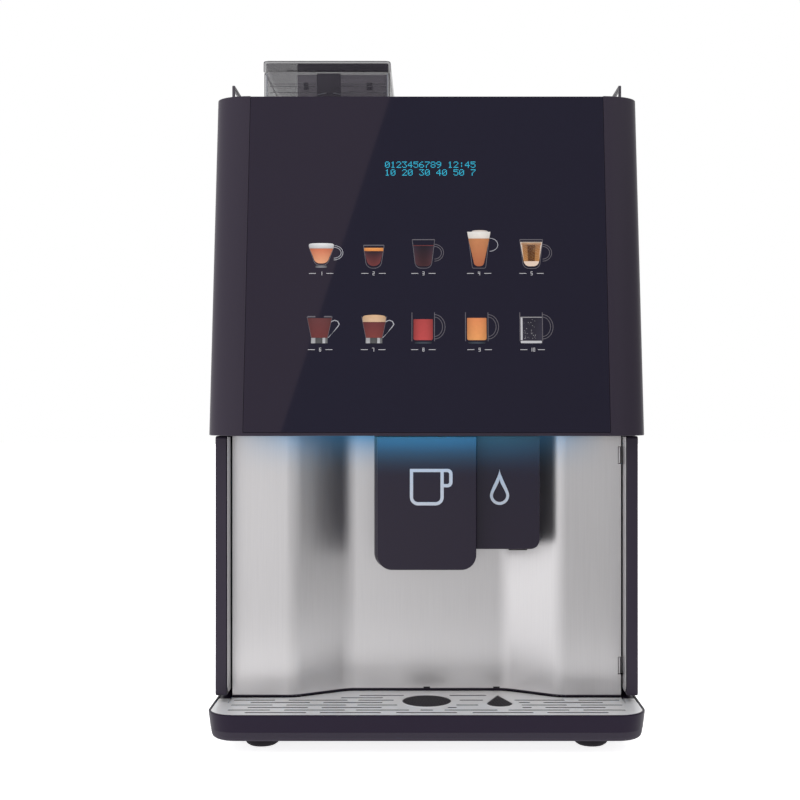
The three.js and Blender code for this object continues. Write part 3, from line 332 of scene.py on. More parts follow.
def rect(x0, y0, x1, y1, r=0, n=6):
    """A rectangle with corners of radius r: one number, or one for each from the lower left, turning left."""
    radii = r if isinstance(r, (list, tuple)) else [r] * 4
    points = []
    for (cx, cy, sx, sy, start), rr in zip(
        ((x0, y0, 1, 1, 180), (x1, y0, -1, 1, 270), (x1, y1, -1, -1, 0), (x0, y1, 1, -1, 90)), radii
    ):
        points += arc(cx + sx * rr, cy + sy * rr, rr, start, start + 90, n) if rr else [(cx, cy)]
    return points


def bar(x, half, y0, y1, r):
    """A rectangle that reaches half to each side of x."""
    return rect(x - half, y0, x + half, y1, r)


def circle(cx, cy, r, n=48):
    return arc(cx, cy, r, 0, 360, n)[:-1]


def finished_mesh(b):
    """The mesh of a bmesh, which is freed."""
    mesh = bpy.data.meshes.new("mesh")
    b.to_mesh(mesh)
    b.free()
    return mesh


def merged(*meshes):
    """One mesh of several."""
    b = bmesh.new()
    for mesh in meshes:
        b.from_mesh(mesh)
    return finished_mesh(b)


def cuboid(low, high, edge):
    """A box with rounded vertical edges and softened rims."""
    (x0, y0, z0), (x1, y1, z1) = low, high
    edge = min(edge, (x1 - x0) / 3, (y1 - y0) / 3, (z1 - z0) / 3)
    return plate(rect(x0, y0, x1, y1), z0, z1, edge=edge)


def lathe(cx, cy, profile, n=48, axis="Z"):
    """A body turned about an axis through cx, cy, from a profile of (radius, place along the axis)."""
    b = bmesh.new()
    rings = []
    for r, w in profile:
        if r < 1e-6:
            rings.append([b.verts.new(AXES[axis](cx, cy, w))])
            continue
        ring = [(cx + r * math.cos(2 * math.pi * i / n),
                 cy + r * math.sin(2 * math.pi * i / n)) for i in range(n)]
        rings.append([b.verts.new(AXES[axis](u, v, w)) for u, v in ring])
    for low, high in zip(rings, rings[1:]):
        for i in range(n):
            j = (i + 1) % n
            corners = [low[i % len(low)], low[j % len(low)], high[j % len(high)], high[i % len(high)]]
            unique = list(dict.fromkeys(corners))
            if len(unique) > 2:
                b.faces.new(unique)
    for ring in (rings[0], rings[-1]):
        if len(ring) > 1:
            b.faces.new(ring)
    return finished_mesh(b)


def rod(cx, cy, w0, w1, r, axis="Z", edge=0.4, n=40):
    return lathe(cx, cy, [(r - edge, w0), (r, w0 + edge), (r, w1 - edge), (r - edge, w1)], n, axis)


def tube(points, r, n):
    """A round bar along points in millimetres."""
    curve = bpy.data.curves.new("path", "CURVE")
    curve.dimensions = "3D"
    curve.bevel_depth = r
    curve.bevel_resolution = n // 4
    curve.use_fill_caps = True
    spline = curve.splines.new("NURBS")
    spline.points.add(len(points) - 1)
    for point, co in zip(spline.points, points):
        point.co = (*co, 1)
    spline.order_u = 4
    spline.use_endpoint_u = True
    spline.resolution_u = 6
    return curve_mesh(curve)


def cut(mesh, *tools):
    """The mesh less each tool."""
    body = linked("cut", mesh)
    helpers = [linked("tool", tool) for tool in tools]
    for helper in helpers:
        change = body.modifiers.new("cut", "BOOLEAN")
        change.operation = "DIFFERENCE"
        change.solver = "EXACT"
        change.object = helper
    for each in (body, *helpers):
        closed = bmesh.new()
        closed.from_mesh(each.data)
        bmesh.ops.remove_doubles(closed, verts=closed.verts, dist=1e-4)
        bmesh.ops.recalc_face_normals(closed, faces=closed.faces)
        closed.to_mesh(each.data)
        closed.free()
    out = bpy.data.meshes.new_from_object(body.evaluated_get(bpy.context.evaluated_depsgraph_get()))
    for each in (body, *helpers):
        bpy.data.objects.remove(each)
    return out


def raked(x, y, z):
    """Leans what lies in front of the door's back with the glass."""
    return (x, y + RAKE * (z - DOOR_LOW), z) if y < DOOR_BACK - 1 else (x, y, z)


def coat_node(node, material, bevel=0.0):
    """Gives a CAD node that keeps its own shape a surface, and softens its edges."""
    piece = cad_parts[node]
    for each in piece.material_slots:
        each.material = M[material]
    if bevel:
        rounding = piece.modifiers.new("bevel", "BEVEL")
        rounding.width = bevel * MM
        rounding.segments = 2
        rounding.limit_method = "ANGLE"
        rounding.angle_limit = math.radians(50)


# ---------------------------------------------------------------- stage: floor, light


def card(name, corners, strength):
    """A glowing sheet outside the view, which the polished parts reflect."""
    mesh = bpy.data.meshes.new(name)
    mesh.from_pydata([Vector(c) for c in corners], [], [range(len(corners))])
    sheet = linked(name, mesh)
    mat = bpy.data.materials.new(name)
    mat.use_nodes = True
    nodes = mat.node_tree.nodes
    nodes.remove(nodes["Principled BSDF"])
    glow = nodes.new("ShaderNodeEmission")
    glow.inputs["Color"].default_value = (1, 1, 1, 1)
    glow.inputs["Strength"].default_value = strength
    mat.node_tree.links.new(glow.outputs["Emission"], nodes["Material Output"].inputs["Surface"])
    mesh.materials.append(mat)
    sheet.visible_camera = False
    return sheet


def area_light(name, place, target, size, power):
    data = bpy.data.lights.new(name, "AREA")
    data.shape = "RECTANGLE"
    data.size, data.size_y = size
    data.energy = power
    lamp = linked(name, data)
    lamp.location = place
    lamp.rotation_euler = (Vector(target) - Vector(place)).to_track_quat("-Z", "Y").to_euler()
    return lamp


def mirrored_from_glass(x, z, plane_y):
    """Where the camera's ray to a point of the glass goes on to at the plane Y = plane_y, in metres."""
    hit = Vector((x, face_y(z), z)) * MM
    normal = Vector((0, -1, RAKE)).normalized()
    ray = (hit - camera.location).normalized()
    out = ray - 2 * ray.dot(normal) * normal
    return hit + out * (plane_y - hit.y) / out.y


def shaded_floor_card():
    """A sheet on the floor before the machine, out of view, whose light falls off from left to right."""
    outline = ((-0.5, -5), (4, -5), (4, -0.2), (0.55, -0.2), (0.3, -0.46), (-0.5, -0.46))
    sheet = card("floor_shade", [(x, y, 0.001) for x, y in outline], 1)
    tree = sheet.data.materials[0].node_tree
    axes = put(tree, "SeparateXYZ", {"Vector": put(tree, "TexCoord", {}).outputs["Object"]})
    strength = fading(tree, axes.outputs["X"], -0.3, 0.4, 1.0, 0.52)
    tree.links.new(strength, tree.nodes["Emission"].inputs["Strength"])


def build_stage():
    mesh = bpy.data.meshes.new("floor")
    mesh.from_pydata([(-6, -6, 0), (6, -6, 0), (6, 9, 0), (-6, 9, 0)], [], [(0, 1, 2, 3)])
    mesh.materials.append(M["floor"])
    linked("floor", mesh)
    world = bpy.data.worlds.new("studio")
    bpy.context.scene.world = world
    world.use_nodes = True
    world.node_tree.nodes["Background"].inputs["Color"].default_value = (1, 1, 1, 1)
    world.node_tree.nodes["Background"].inputs["Strength"].default_value = 1.0
    # A darker sheet before the machine, whose slanted edge the glass reflects.
    away = -2.3
    low_left = mirrored_from_glass(-180, 223, away)
    top_left = mirrored_from_glass(-30, 710, away)
    top_right = mirrored_from_glass(420, 760, away)
    low_right = mirrored_from_glass(420, 223, away)
    card("dark_reflection", (low_left, low_right, top_right, top_left), 0.45)
    card("right_wall", ((1.6, -2.6, 0), (1.6, 0.6, 0), (1.6, 0.6, 1.3), (1.6, -2.6, 1.3)), 0.5)
    shaded_floor_card()
    overhead = area_light("overhead", (-0.7, -0.9, 2.4), (0, 0, 0.3), (1.6, 1.2), 10)
    overhead.visible_glossy = False


build_stage()

# ---------------------------------------------------------------- cabinet


def build_cabinet():
    uprights = (
        ("side_panel_", "side_sheet_", 1.2, 0.5, 2, "paint", "painted_sheet"),
        ("cheek_", "cheek_post_", 3, 1.2, 4, "trim", "trim_plastic"),
        ("cheek_trim_", "cheek_strip_", (7, 0, 0, 0), 0.25, 2, "strip", "steel"),
        ("gallery_rail_", "top_rail_", (0.5, 0.5, 6, 2), 0.6, 3, "rail", "painted_sheet"),
    )
    for side in ("left", "right"):
        for node, name, corners, edge, steps, material, slot in uprights:
            (x0, y0, z0), (x1, y1, z1) = box_mm(node + side)
            windows = []
            if node == "gallery_rail_":
                windows = [rect(a, z0 + 5, b, z1 - 4.6, 2) for a, b in ((y0 + 4, 37), (44, y1 - 5))]
            mesh = plate(rect(y0, z0, y1, z1, corners), x0, x1, "X", windows, edge, steps)
            finished(name + side, mesh, material, "cabinet", slot, replaces=node + side)
    sheets = (("rear_panel", "paint"), ("top_cover", "paint"), ("mid_shelf", "zinc"),
              ("base_chassis", "black"))
    for node, material in sheets:
        coat_node(node, material, 0.3)
    for end in ("front", "rear"):
        for side in ("left", "right"):
            build_foot(f"foot_{end}_{side}")


def build_foot(node):
    low, high = box_mm(node)
    x, y = (low[0] + high[0]) / 2, (low[1] + high[1]) / 2
    sole = [(0, 0), (12, 0), (14, 0.4), (16.6, 2.2), (18.3, 5), (19, 8), (19, 10.6), (18.6, 11)]
    stem = [(9, 11), (9, 13.7), (0, 13.7)]
    name = node.replace("foot", "rubber_foot")
    finished(name, lathe(x, y, sole + stem), "rubber", "cabinet", "rubber", replaces=node)


def slab_outline(half, front, rear, corner, n=14):
    """A slab in plan, with its two front corners rounded."""
    return (
        [(-half, rear)]
        + arc(-half + corner, front + corner, corner, 180, 270, n)
        + arc(half - corner, front + corner, corner, 270, 360, n)
        + [(half, rear)]
    )


def join_rings(b, rings):
    """Faces between each ring of points and the next."""
    count = len(rings[0])
    for low, high in zip(rings, rings[1:]):
        for i in range(count):
            j = (i + 1) % count
            b.faces.new((low[i], low[j], high[j], high[i]))


def loft(rings):
    """A closed body through rings of points, all of the same length."""
    b = bmesh.new()
    made = [[b.verts.new(point) for point in ring] for ring in rings]
    join_rings(b, made)
    b.faces.new(made[0])
    b.faces.new(made[-1])
    return finished_mesh(b)


def slab(half, front, rear, corner, levels):
    """A slab through levels of (height, how far its sides and front lie in from the full outline)."""
    plans = [(slab_outline(half - d, front + d, rear, corner - d), z) for z, d in levels]
    return loft([[(x, y, z) for x, y in plan] for plan, z in plans])


def build_base():
    """The textured lower band round the front of the base, over the CAD ledge."""
    levels = ((14.15, 5.2), (14.5, 3.6), (15.4, 2.3), (16.8, 1.4), (19, 0.8), (TRAY_LOW - 0.08, 0))
    band_mesh = slab(TRAY_HALF - 2.2, TRAY_FRONT + 2.2, -172, 29, levels)
    finished("base_band", band_mesh, "grained", "cabinet", "black_plastic")


def build_tray():
    levels = ((TRAY_LOW, 2.2), (RIM_TOP - 1, 0.1), (RIM_TOP - 0.45, 0.25), (RIM_TOP - 0.1, 0.55),
              (RIM_TOP, 1))
    outer = slab(TRAY_HALF, TRAY_FRONT, TRAY_REAR, 30, levels)
    well_outline = slab_outline(TRAY_HALF - 6, TRAY_FRONT + 6, TRAY_REAR - 14, 24)
    well = plate(well_outline, TRAY_LOW + 3, RIM_TOP + 3, edge=2)
    seat_outline = slab_outline(TRAY_HALF - 2.2, TRAY_FRONT + 2.2, TRAY_REAR - 2, 27.8)
    seat = plate(seat_outline, GRID_LOW - 0.4, RIM_TOP + 3, edge=0.1)
    corners = [cuboid((s * 230 - 10.5, -171.6, 0), (s * 230 + 10.5, -150, 60), 0.1) for s in (-1, 1)]
    finished("drip_tray_body", cut(outer, well, seat, *corners), "black", "drip_tray", "black_plastic",
             replaces="drip_tray")
    for name, s in (("left", -1), ("right", 1)):
        x0, x1 = sorted((s * 209.7, s * (GRID_HALF - 0.4)))
        ledge = cuboid((x0, -219, GRID_LOW - 0.3), (x1, -200.2, GRID_TOP), 0.1)
        finished("tray_ledge_" + name, ledge, "grid", "drip_tray", "steel")
        # Behind the steel ledges, black sills: real parts of the tray whose dark colour also paints the shade
        # under the cheeks.
        sill = cuboid((x0, -200, GRID_LOW - 0.3), (x1, -172, GRID_TOP + 0.1), 0.4)
        finished("tray_shade_sill_" + name, sill, "black", "drip_tray", "black_plastic")


def panel_outline(shift=0.0, half=None):
    """The bent panel's line in plan, from left to right."""
    half = half or PANEL_HALF
    front, middle = PANEL_FRONT + shift, PANEL_MIDDLE + shift
    corners = [Vector(c) for c in ((-half, front), (-PANEL_OUTER, front), (-PANEL_INNER, middle),
                                   (PANEL_INNER, middle), (PANEL_OUTER, front), (half, front))]
    points = [tuple(corners[0])]
    for before, here, after in zip(corners, corners[1:], corners[2:]):
        start = here - (here - before).normalized() * PANEL_BEND / 2
        end = here + (after - here).normalized() * PANEL_BEND / 2
        for i in range(9):
            t = i / 8
            points.append(tuple(start * (1 - t) ** 2 + here * 2 * t * (1 - t) + end * t * t))
    return points + [tuple(corners[-1])]


def drop_outline(grow=0.0, n=20):
    """The drop-shaped mark in plan: an arc and two straight flanks up to a blunt tip."""
    r, tip = DROP_R + grow, DROP_TIP + grow * 1.6
    lean = math.degrees(math.asin(r / (tip - DROP_Y)))
    blunt = [(DROP_X + 0.5, tip - 0.6), (DROP_X - 0.5, tip - 0.6)]
    return arc(DROP_X, DROP_Y, r, 180 - lean, 360 + lean, n) + blunt


SLOT_HALF, SLOT_CORNER = 1.7, 1.6
SLOT_ROWS, FIRST_ROW, ROW_PITCH = 8, -259.5, 10.5
MARK_GAP = 8
SIDE_REACH = 205


def slot_rows():
    """The staggered slots as (left, right, y): they stop short of the two marks and of the panel."""
    slots = []
    for row in range(SLOT_ROWS):
        y = FIRST_ROW + row * ROW_PITCH
        side = [(18, 73), (84, 147), (161, 205)] if row % 2 else [(46.6, 109.2), (123, 186)]
        middle = (-6.7, 6.7) if row % 2 else (-31.3, 31.3)
        cup_half = math.sqrt(max(0, (CUP_R + MARK_GAP) ** 2 - (y - CUP_Y) ** 2))
        drop_half = 0
        if DROP_Y - DROP_R - 6 < y < DROP_TIP + MARK_GAP:
            share = 1 - max(0, y - DROP_Y) / (DROP_TIP - DROP_Y)
            drop_half = max(4, DROP_R * share) + MARK_GAP
        past_panel = y - (PANEL_FRONT - 12)
        reach = PANEL_OUTER - 34 - past_panel * 1.6 if past_panel > 0 else SIDE_REACH
        for a, b in [middle, *side, *[(-d, -c) for c, d in side]]:
            for centre, half in ((CUP_X, cup_half), (DROP_X, drop_half)):
                if half and a < centre < b:
                    a, b = (a, centre - half) if abs(centre - a) > abs(b - centre) else (centre + half, b)
                elif half and centre - half < a < centre + half:
                    a = centre + half
                elif half and centre - half < b < centre + half:
                    b = centre - half
            a, b = max(a, -reach), min(b, reach)
            if b - a > 8:
                slots.append((a, b, y))
    return slots


def slot_outline(a, b, y, inset=0.0):
    """A slot's outline, or a smaller one that lies inset within it."""
    half, corner = SLOT_HALF - inset, SLOT_CORNER - inset
    return rect(a + inset, y - half, b - inset, y + half, corner, 4)


def build_grid():
    neck_half, neck_y, corner = 208.9, -219.4, 27.4
    outline = (
        panel_outline(-1.5, neck_half)[::-1]
        + [(-neck_half, neck_y), (-GRID_HALF, neck_y)]
        + arc(-GRID_HALF + corner, GRID_FRONT + corner, corner, 180, 270, 14)
        + arc(GRID_HALF - corner, GRID_FRONT + corner, corner, 270, 360, 14)
        + [(GRID_HALF, neck_y), (neck_half, neck_y)]
    )
    slots = [slot_outline(*slot) for slot in slot_rows()]
    holes = [circle(CUP_X, CUP_Y, CUP_R, 64), drop_outline(), *slots]
    grid = plate(outline, GRID_LOW, GRID_TOP, holes=holes, edge=0.25)
    finished("grid_plate", grid, "grid", "drip_grid", "steel", replaces="drip_grid")
    # Dark liners inside the slots: painted shade, closing the slots just under the top so that they read as
    # dark as open slots.
    liners = []
    for slot in slot_rows():
        outer, inner = slot_outline(*slot, 0.02), slot_outline(*slot, 0.3)
        liners.append(plate(outer, GRID_LOW + 0.1, GRID_TOP - 0.15, holes=[inner], edge=0.01, steps=1))
    finished("slot_shade_liners", merged(*liners), "dark", "drip_grid", "steel")
    marks = (
        ("cup", circle(CUP_X, CUP_Y, CUP_R + 0.5), circle(CUP_X, CUP_Y, CUP_R - 1.1)),
        ("drop", drop_outline(0.5), drop_outline(-1.1)),
    )
    for name, outer, inner in marks:
        rim = plate(outer, GRID_TOP - 0.5, GRID_TOP + 0.4, holes=[inner], edge=0.25, steps=3)
        finished(name + "_mark_rim", rim, "grid", "drip_grid", "steel")
    build_mesh_insert("cup_mark_mesh", circle(CUP_X, CUP_Y, CUP_R - 1), CUP_X, CUP_Y)
    build_mesh_insert("drop_mark_mesh", drop_outline(-1), DROP_X, (DROP_TIP + DROP_Y - DROP_R) / 2)


def build_mesh_insert(name, outline, cx, cy):
    """A dark perforated sheet under a mark of the grid."""
    pitch, row_step, hole, margin = 3.2, 0.866, 1.1, 1.7
    holes = []
    for i in range(-12, 13):
        for j in range(-14, 15):
            x, y = cx + (i + (j % 2) / 2) * pitch, cy + j * pitch * row_step
            if inside(x, y, outline, margin):
                holes.append(circle(x, y, hole, 8))
    mesh = plate(outline, GRID_TOP - 0.9, GRID_TOP - 0.35, holes=holes, edge=0.05, steps=1)
    finished(name, mesh, "mesh", "drip_grid", "steel")


def inside(x, y, outline, margin):
    """Whether a point lies inside a convex outline by more than margin."""
    for (ax, ay), (bx, by) in zip(outline, outline[1:] + outline[:1]):
        length = math.hypot(bx - ax, by - ay)
        if length > 1e-6 and ((bx - ax) * (y - ay) - (by - ay) * (x - ax)) / length < margin:
            return False
    return True


# ---------------------------------------------------------------- cup station door


def behind_panel(shift, back, z0, z1):
    """The room between the bent panel's line and the plane Y = back."""
    line = panel_outline(shift)
    return plate(line + [(line[-1][0], back), (line[0][0], back)], z0, z1, edge=0.01)


def build_station():
    line = panel_outline()
    back = panel_outline(PANEL_SHEET)
    sheet = plate(line + back[::-1], PANEL_LOW, PANEL_HIGH, edge=0.35)
    knuckles = {which: box_mm("station_hinge_" + which) for which in ("lower", "upper")}
    notches = []
    for low, high in knuckles.values():
        notches.append(cuboid((low[0] - 0.15, -230, low[2] - 0.4), (230, -150, high[2] + 0.4), 0.1))
    opening = cuboid((-46, -230, 218), (110, -100, PANEL_HIGH - 6.6), 0.1)
    panel = cut(sheet, opening, *notches)
    station_part("station_sheet", panel, "steel", "steel", replaces="cup_station_panel", smooth=30)
    coat_node("station_backing", "black")
    for which, ((x0, y0, z0), (x1, y1, z1)) in knuckles.items():
        x, y = x0 + BARREL, y0 + BARREL
        barrel = rod(x, y, z0, z1, BARREL, n=24)
        flap = cuboid((x + 1.3, y, z0), (x1, y + 1.2, z1), 0.3)
        stop = cuboid((x1 - 1.4, y, z0), (x1, y1, z1), 0.3)
        finished("knuckle_" + which, merged(barrel, flap, stop), "steel", "cabinet", "steel",
                 replaces="station_hinge_" + which)
    seal = plate(panel_outline(-0.35) + back[::-1], PANEL_LOW - 1.5, PANEL_LOW - 0.05, edge=0.1)
    finished("panel_seal", seal, "rail", "station_door", "black_plastic")
    for name, x in (("middle", CUP_X), ("right", DROP_X)):
        low = (x - 3.6, PANEL_MIDDLE - 0.5, PANEL_LOW - 0.6)
        high = (x + 3.6, PANEL_MIDDLE + 0.5, PANEL_LOW + 1.6)
        station_part("panel_clip_" + name, cuboid(low, high, 0.2), "dark", "steel")


def cover_outline(x0, x1, z0, z1, left, right, n=14):
    """A cover seen from the front, with its lower corners rounded by left and right."""
    points = [(x0, z1)]
    points += arc(x0 + left, z0 + left, left, 180, 270, n) if left else [(x0, z0)]
    points += arc(x1 - right, z0 + right, right, 270, 360, n) if right else [(x1, z0)]
    return points + [(x1, z1)]


def station_part(name, mesh, material="cover", slot="cover_plastic", **settings):
    finished(name, mesh, material, "station_door", slot, **settings)


def shell(sections, inner, mouth):
    """A cover lofted through (outline, y) sections, hollowed from behind, with a mouth below."""
    outer = loft([[(x, y, z) for x, z in outline] for outline, y in sections])
    return cut(outer, inner, mouth, behind_panel(-0.4, 0, 100, 400))


COVER_WALL = 3
COVER_REAR = -150


def build_coffee_cover():
    (_, front, z0), (x1, _, z1) = box_mm("coffee_nozzle_cover")
    corner, flank = 15.5, 51.7
    plans = (
        (50.7, front, 0.8), (51.3, front + 0.25, 0.2), (51.5, front + 0.9, 0), (flank, front + 5, 0),
        (53.4, front + 8, 0.4), (54.9, front + 12, 0.8), (55.2, front + 18, 0.8), (x1, COVER_REAR, 0.8),
    )
    sections = [(cover_outline(-h, min(h, flank), z0 + d, z1, corner, corner), y) for h, y, d in plans]
    hollow = cover_outline(-48, 48, z0 + COVER_WALL, z1 - COVER_WALL, 12.6, 12.6)
    inner = plate(hollow, front + COVER_WALL, -100, "Y", edge=0.1)
    mouth = cuboid((-26, front + 8, z0 - 5), (26, front + 46, z0 + 9), 0.1)
    station_part("coffee_cover", shell(sections, inner, mouth), replaces="coffee_nozzle_cover", smooth=25)
    build_cup_icon(front)


def build_water_cover():
    (x0, front, z0), (x1, _, z1) = box_mm("water_nozzle_cover")
    left, corner = 52, 10
    plans = ((0.8, front), (0.2, front + 0.25), (0, front + 0.9), (0, COVER_REAR))
    sections = [(cover_outline(left + d, x1 - d, z0 + d, z1, 0, corner - d), y) for d, y in plans]
    wall = COVER_WALL
    hollow = cover_outline(x0 + wall, x1 - wall, z0 + wall, z1 - wall, 0, corner - wall)
    inner = plate(hollow, front + wall, -100, "Y", edge=0.1)
    mouth = cuboid((DROP_X - 11, front + 6, z0 - 5), (DROP_X + 11, front + 32, z0 + 9), 0.1)
    station_part("water_cover", shell(sections, inner, mouth), replaces="water_nozzle_cover", smooth=25)
    lip = cuboid((86.5, front + 8, z0 - 2.2), (106.5, front + 22, z0 + 3), 1)
    station_part("water_cover_lip", lip, "dark")
    build_drop_icon(front)


def sign(outline, front, holes=()):
    """A flat bright shape set into a cover's face."""
    return plate(outline, front - 0.15, front + 0.4, "Y", holes, 0.08, 1)


def build_cup_icon(front):
    """A cup seen from the side, as a line drawing set into the cover's face."""
    x0, x1, z0, z1, w = -17.5, 17.7, 250.6, 288.6, 3.4
    bowl = rect(x0, z0, x1, z1, (8.5, 8.5, 0.4, 0.4))
    inner = rect(x0 + w, z0 + w, x1 - w, z1 - w, (5.1, 5.1, 0.2, 0.2))
    ear = (
        [(x1, z1 - 19.2)]
        + arc(x1 + 3.9, z1 - 14, 5.2, 270, 360, 6)
        + arc(x1 + 3.9, z1 - 5.2, 5.2, 0, 90, 6)
        + [(x1, z1), (x1, z1 - w)]
        + arc(x1 + 3.6, z1 - w - 2, 2, 90, 0, 5)
        + arc(x1 + 3.6, z1 - 19.2 + w + 2, 2, 0, -90, 5)
        + [(x1, z1 - 19.2 + w)]
    )
    station_part("cup_sign", merged(sign(bowl, front, [inner]), sign(ear, front)), "icon")


def drop_side(cx, cz, r, tip, n=10):
    """A drop seen from the side: a half circle below, and two hollow curves up to the tip."""

    def flank(s, t):
        a, b, c, d = (1 - t) ** 3, 3 * t * (1 - t) ** 2, 3 * t * t * (1 - t), t**3
        across = b + a + 0.06 * c
        return (cx + s * r * across, cz * a + (cz + 0.55 * r) * b + (tip - 0.75 * r) * c + tip * d)

    right = [flank(1, i / n) for i in range(1, n)]
    left = [flank(-1, i / n) for i in range(n - 1, 0, -1)]
    return arc(cx, cz, r, 180, 360, 20) + right + [(cx, tip)] + left


def build_drop_icon(front):
    middle = 259.9
    outer, inner = drop_side(DROP_X, middle, 10.1, 287.4), drop_side(DROP_X, middle, 7, 277)
    station_part("drop_sign", sign(outer, front, [inner]), "icon")


# ---------------------------------------------------------------- upper door


def door_plan(wall=0.0, face=0.0, back=None):
    """The door in plan, or its hollow, which lies wall within the sides and face within the front."""
    back = DOOR_BACK if back is None else back
    bend = DOOR_FRONT + TRIM_ROUND
    edge = GLASS_HALF + 0.4
    rx, ry = DOOR_HALF - edge - wall, TRIM_ROUND - face
    return (
        [(-DOOR_HALF + wall, back)]
        + arc(-edge, bend, rx, 180, 270, 20, ry)
        + arc(edge, bend, rx, 270, 360, 20, ry)
        + [(DOOR_HALF - wall, back)]
    )


LOCK_Y, LOCK_Z = -188, 470
DISPLAY_X, DISPLAY_Z = 4, 602.6


def build_door():
    outer = bent(plate(door_plan(), DOOR_LOW, DOOR_HIGH, edge=1.0, steps=3), raked)
    front = DOOR_FRONT + GLASS_THICK + 0.4
    edge = GLASS_HALF + 0.4
    recess = bent(cuboid((-edge, DOOR_FRONT - 9, DOOR_LOW + 3), (edge, front, DOOR_HIGH + 5), 0.05), raked)
    room = door_plan(4, front + 3 - DOOR_FRONT, DOOR_BACK + 5)
    cavity = bent(plate(room, DOOR_LOW + 4, DOOR_HIGH - 4, edge=0.05), raked)
    (lx0, ly0, lz0), (lx1, ly1, lz1) = box_mm("door_light_strip")
    light = cuboid((lx0 - 0.4, ly0 - 0.4, DOOR_LOW - 3), (lx1 + 0.4, ly1 + 0.4, lz1 + 1), 0.05)
    hinge_rooms = ((DOOR_LOW + 3.8, 342.2), (664.8, DOOR_HIGH - 3.8))
    notches = [cuboid((210, -188, low), (230, DOOR_BACK + 5, high), 0.05) for low, high in hinge_rooms]
    lock = rod(LOCK_Y, LOCK_Z, -DOOR_HALF - 5, -DOOR_HALF + 9, 9.3, "X", 0.1)
    display = cuboid((DISPLAY_X - 56, -250, DISPLAY_Z - 16), (DISPLAY_X + 56, -200, DISPLAY_Z + 16), 0.05)
    finished("door_body", cut(outer, recess, cavity, light, lock, display, *notches), "trim", "front_door",
             "trim_plastic", replaces="door_shell", smooth=25)
    low, high = (-GLASS_HALF, DOOR_FRONT, FASCIA_LOW), (GLASS_HALF, DOOR_FRONT + GLASS_THICK, FASCIA_HIGH)
    finished("fascia_glass", bent(cuboid(low, high, 0.5), raked), "glass", "front_door", "glass",
             replaces="glass_fascia")
    strip = cuboid((lx0, ly0, lz0), (lx1, ly1, lz1), 0.3)
    finished("chin_light", strip, "light", "front_door", "light", replaces="door_light_strip")
    fittings = (("display_module", "board", 0.3), ("door_liner", "grey", 0.6), ("door_hinge_top", "zinc", 0),
                ("door_hinge_bottom", "zinc", 0), ("door_strike", "zinc", 0.3), ("door_lock", "zinc", 0.2))
    for node, material, bevel in fittings:
        coat_node(node, material, bevel)


PRINT_LIFT, PRINT_DEPTH = 0.12, 0.1


def decal(name, outline, color="glass_line", lift=PRINT_LIFT):
    """A printed patch on the glass: its outline is in X and height."""
    mesh = plate(outline, DOOR_FRONT - lift, DOOR_FRONT + PRINT_DEPTH, "Y", edge=0.01, steps=1)
    finished(name, bent(mesh, raked), color, "front_door", "glass")


CUP_XS = (-109.4, -55, -3.4, 54.2, 108.6)
LABEL_ROWS = (491.2, 411.7)


def ring(outer, inner):
    """An open line from an outer and an inner path that run side by side."""
    return outer + inner[::-1]


def side_view(x, z1, z0, top, low, r):
    """A glass seen from the side: half widths at the top and the bottom, with rounded lower corners."""
    return (
        [(x - top, z1)]
        + arc(x - low + r, z0 + r, r, 190, 270, 8)
        + arc(x + low - r, z0 + r, r, 270, 350, 8)
        + [(x + top, z1)]
    )


def fill(name, outline, low, high, sides):
    """A patch of drink, low in colour at its bottom and high at its top, darker towards its sides."""
    xs, zs = [p[0] for p in outline], [p[1] for p in outline]
    half = (max(xs) - min(xs)) / 2
    INKS[name] = ink(name, low, blend=(min(xs) + half, half, min(zs), max(zs), high, sides))
    decal(name, outline, name, lift=0.16)


def glass_line(name, x, z1, z0, top, low, r, color="glass_line", width=0.55):
    """The thin outline of a glass, open at the top."""
    outer = side_view(x, z1, z0, top, low, r)
    inner = side_view(x, z1, z0 + width, top - width, low - width, max(0.3, r - width))
    decal(name, ring(outer, inner), color)


def band(x, top, low, z1, z0, a, b):
    """The part of a tapered glass between the heights a (upper) and b."""

    def half(z):
        return low + (top - low) * (z - z0) / (z1 - z0)

    return [(x - half(b), b), (x + half(b), b), (x + half(a), a), (x - half(a), a)]


def loop_handle(name, x, z, rx, rz, color="glass_line", double=0.0):
    """A rounded handle to the right of x: one line, or two that lie double apart."""
    width = 0.6
    for i, d in enumerate((0, double) if double else (0,)):
        outer = arc(x, z, rx - d, -90, 90, 14, rz - d)
        inner = arc(x, z, rx - d - width, -90, 90, 14, rz - d - width)
        decal(f"{name}_{i}", ring(outer, inner), color, lift=0.11)


def straight_handle(name, x, z):
    """A thin wire handle that loops at the top and runs down to the foot of the glass."""
    outer = ((8.5, 0), (19, 11), (20.8, 14), (19, 17.4), (15.6, 18.6), (12.2, 17.3), (11, 16))
    inner = ((9.4, 0), (18.2, 11.5), (19.8, 14), (18.3, 16.7), (15.5, 17.7), (12.8, 16.7), (11.8, 15.6))
    lines = [[(x + a, z + c) for a, c in line] for line in (outer, inner)]
    decal(name, ring(*lines), "bright_line")


def dome(x, half, z0, z1, n=14):
    """A low mound from its base line."""
    angles = [math.pi * i / n for i in range(n + 1)]
    return [(x + half * math.cos(a), z0 + (z1 - z0) * math.sin(a) ** 0.6) for a in angles]


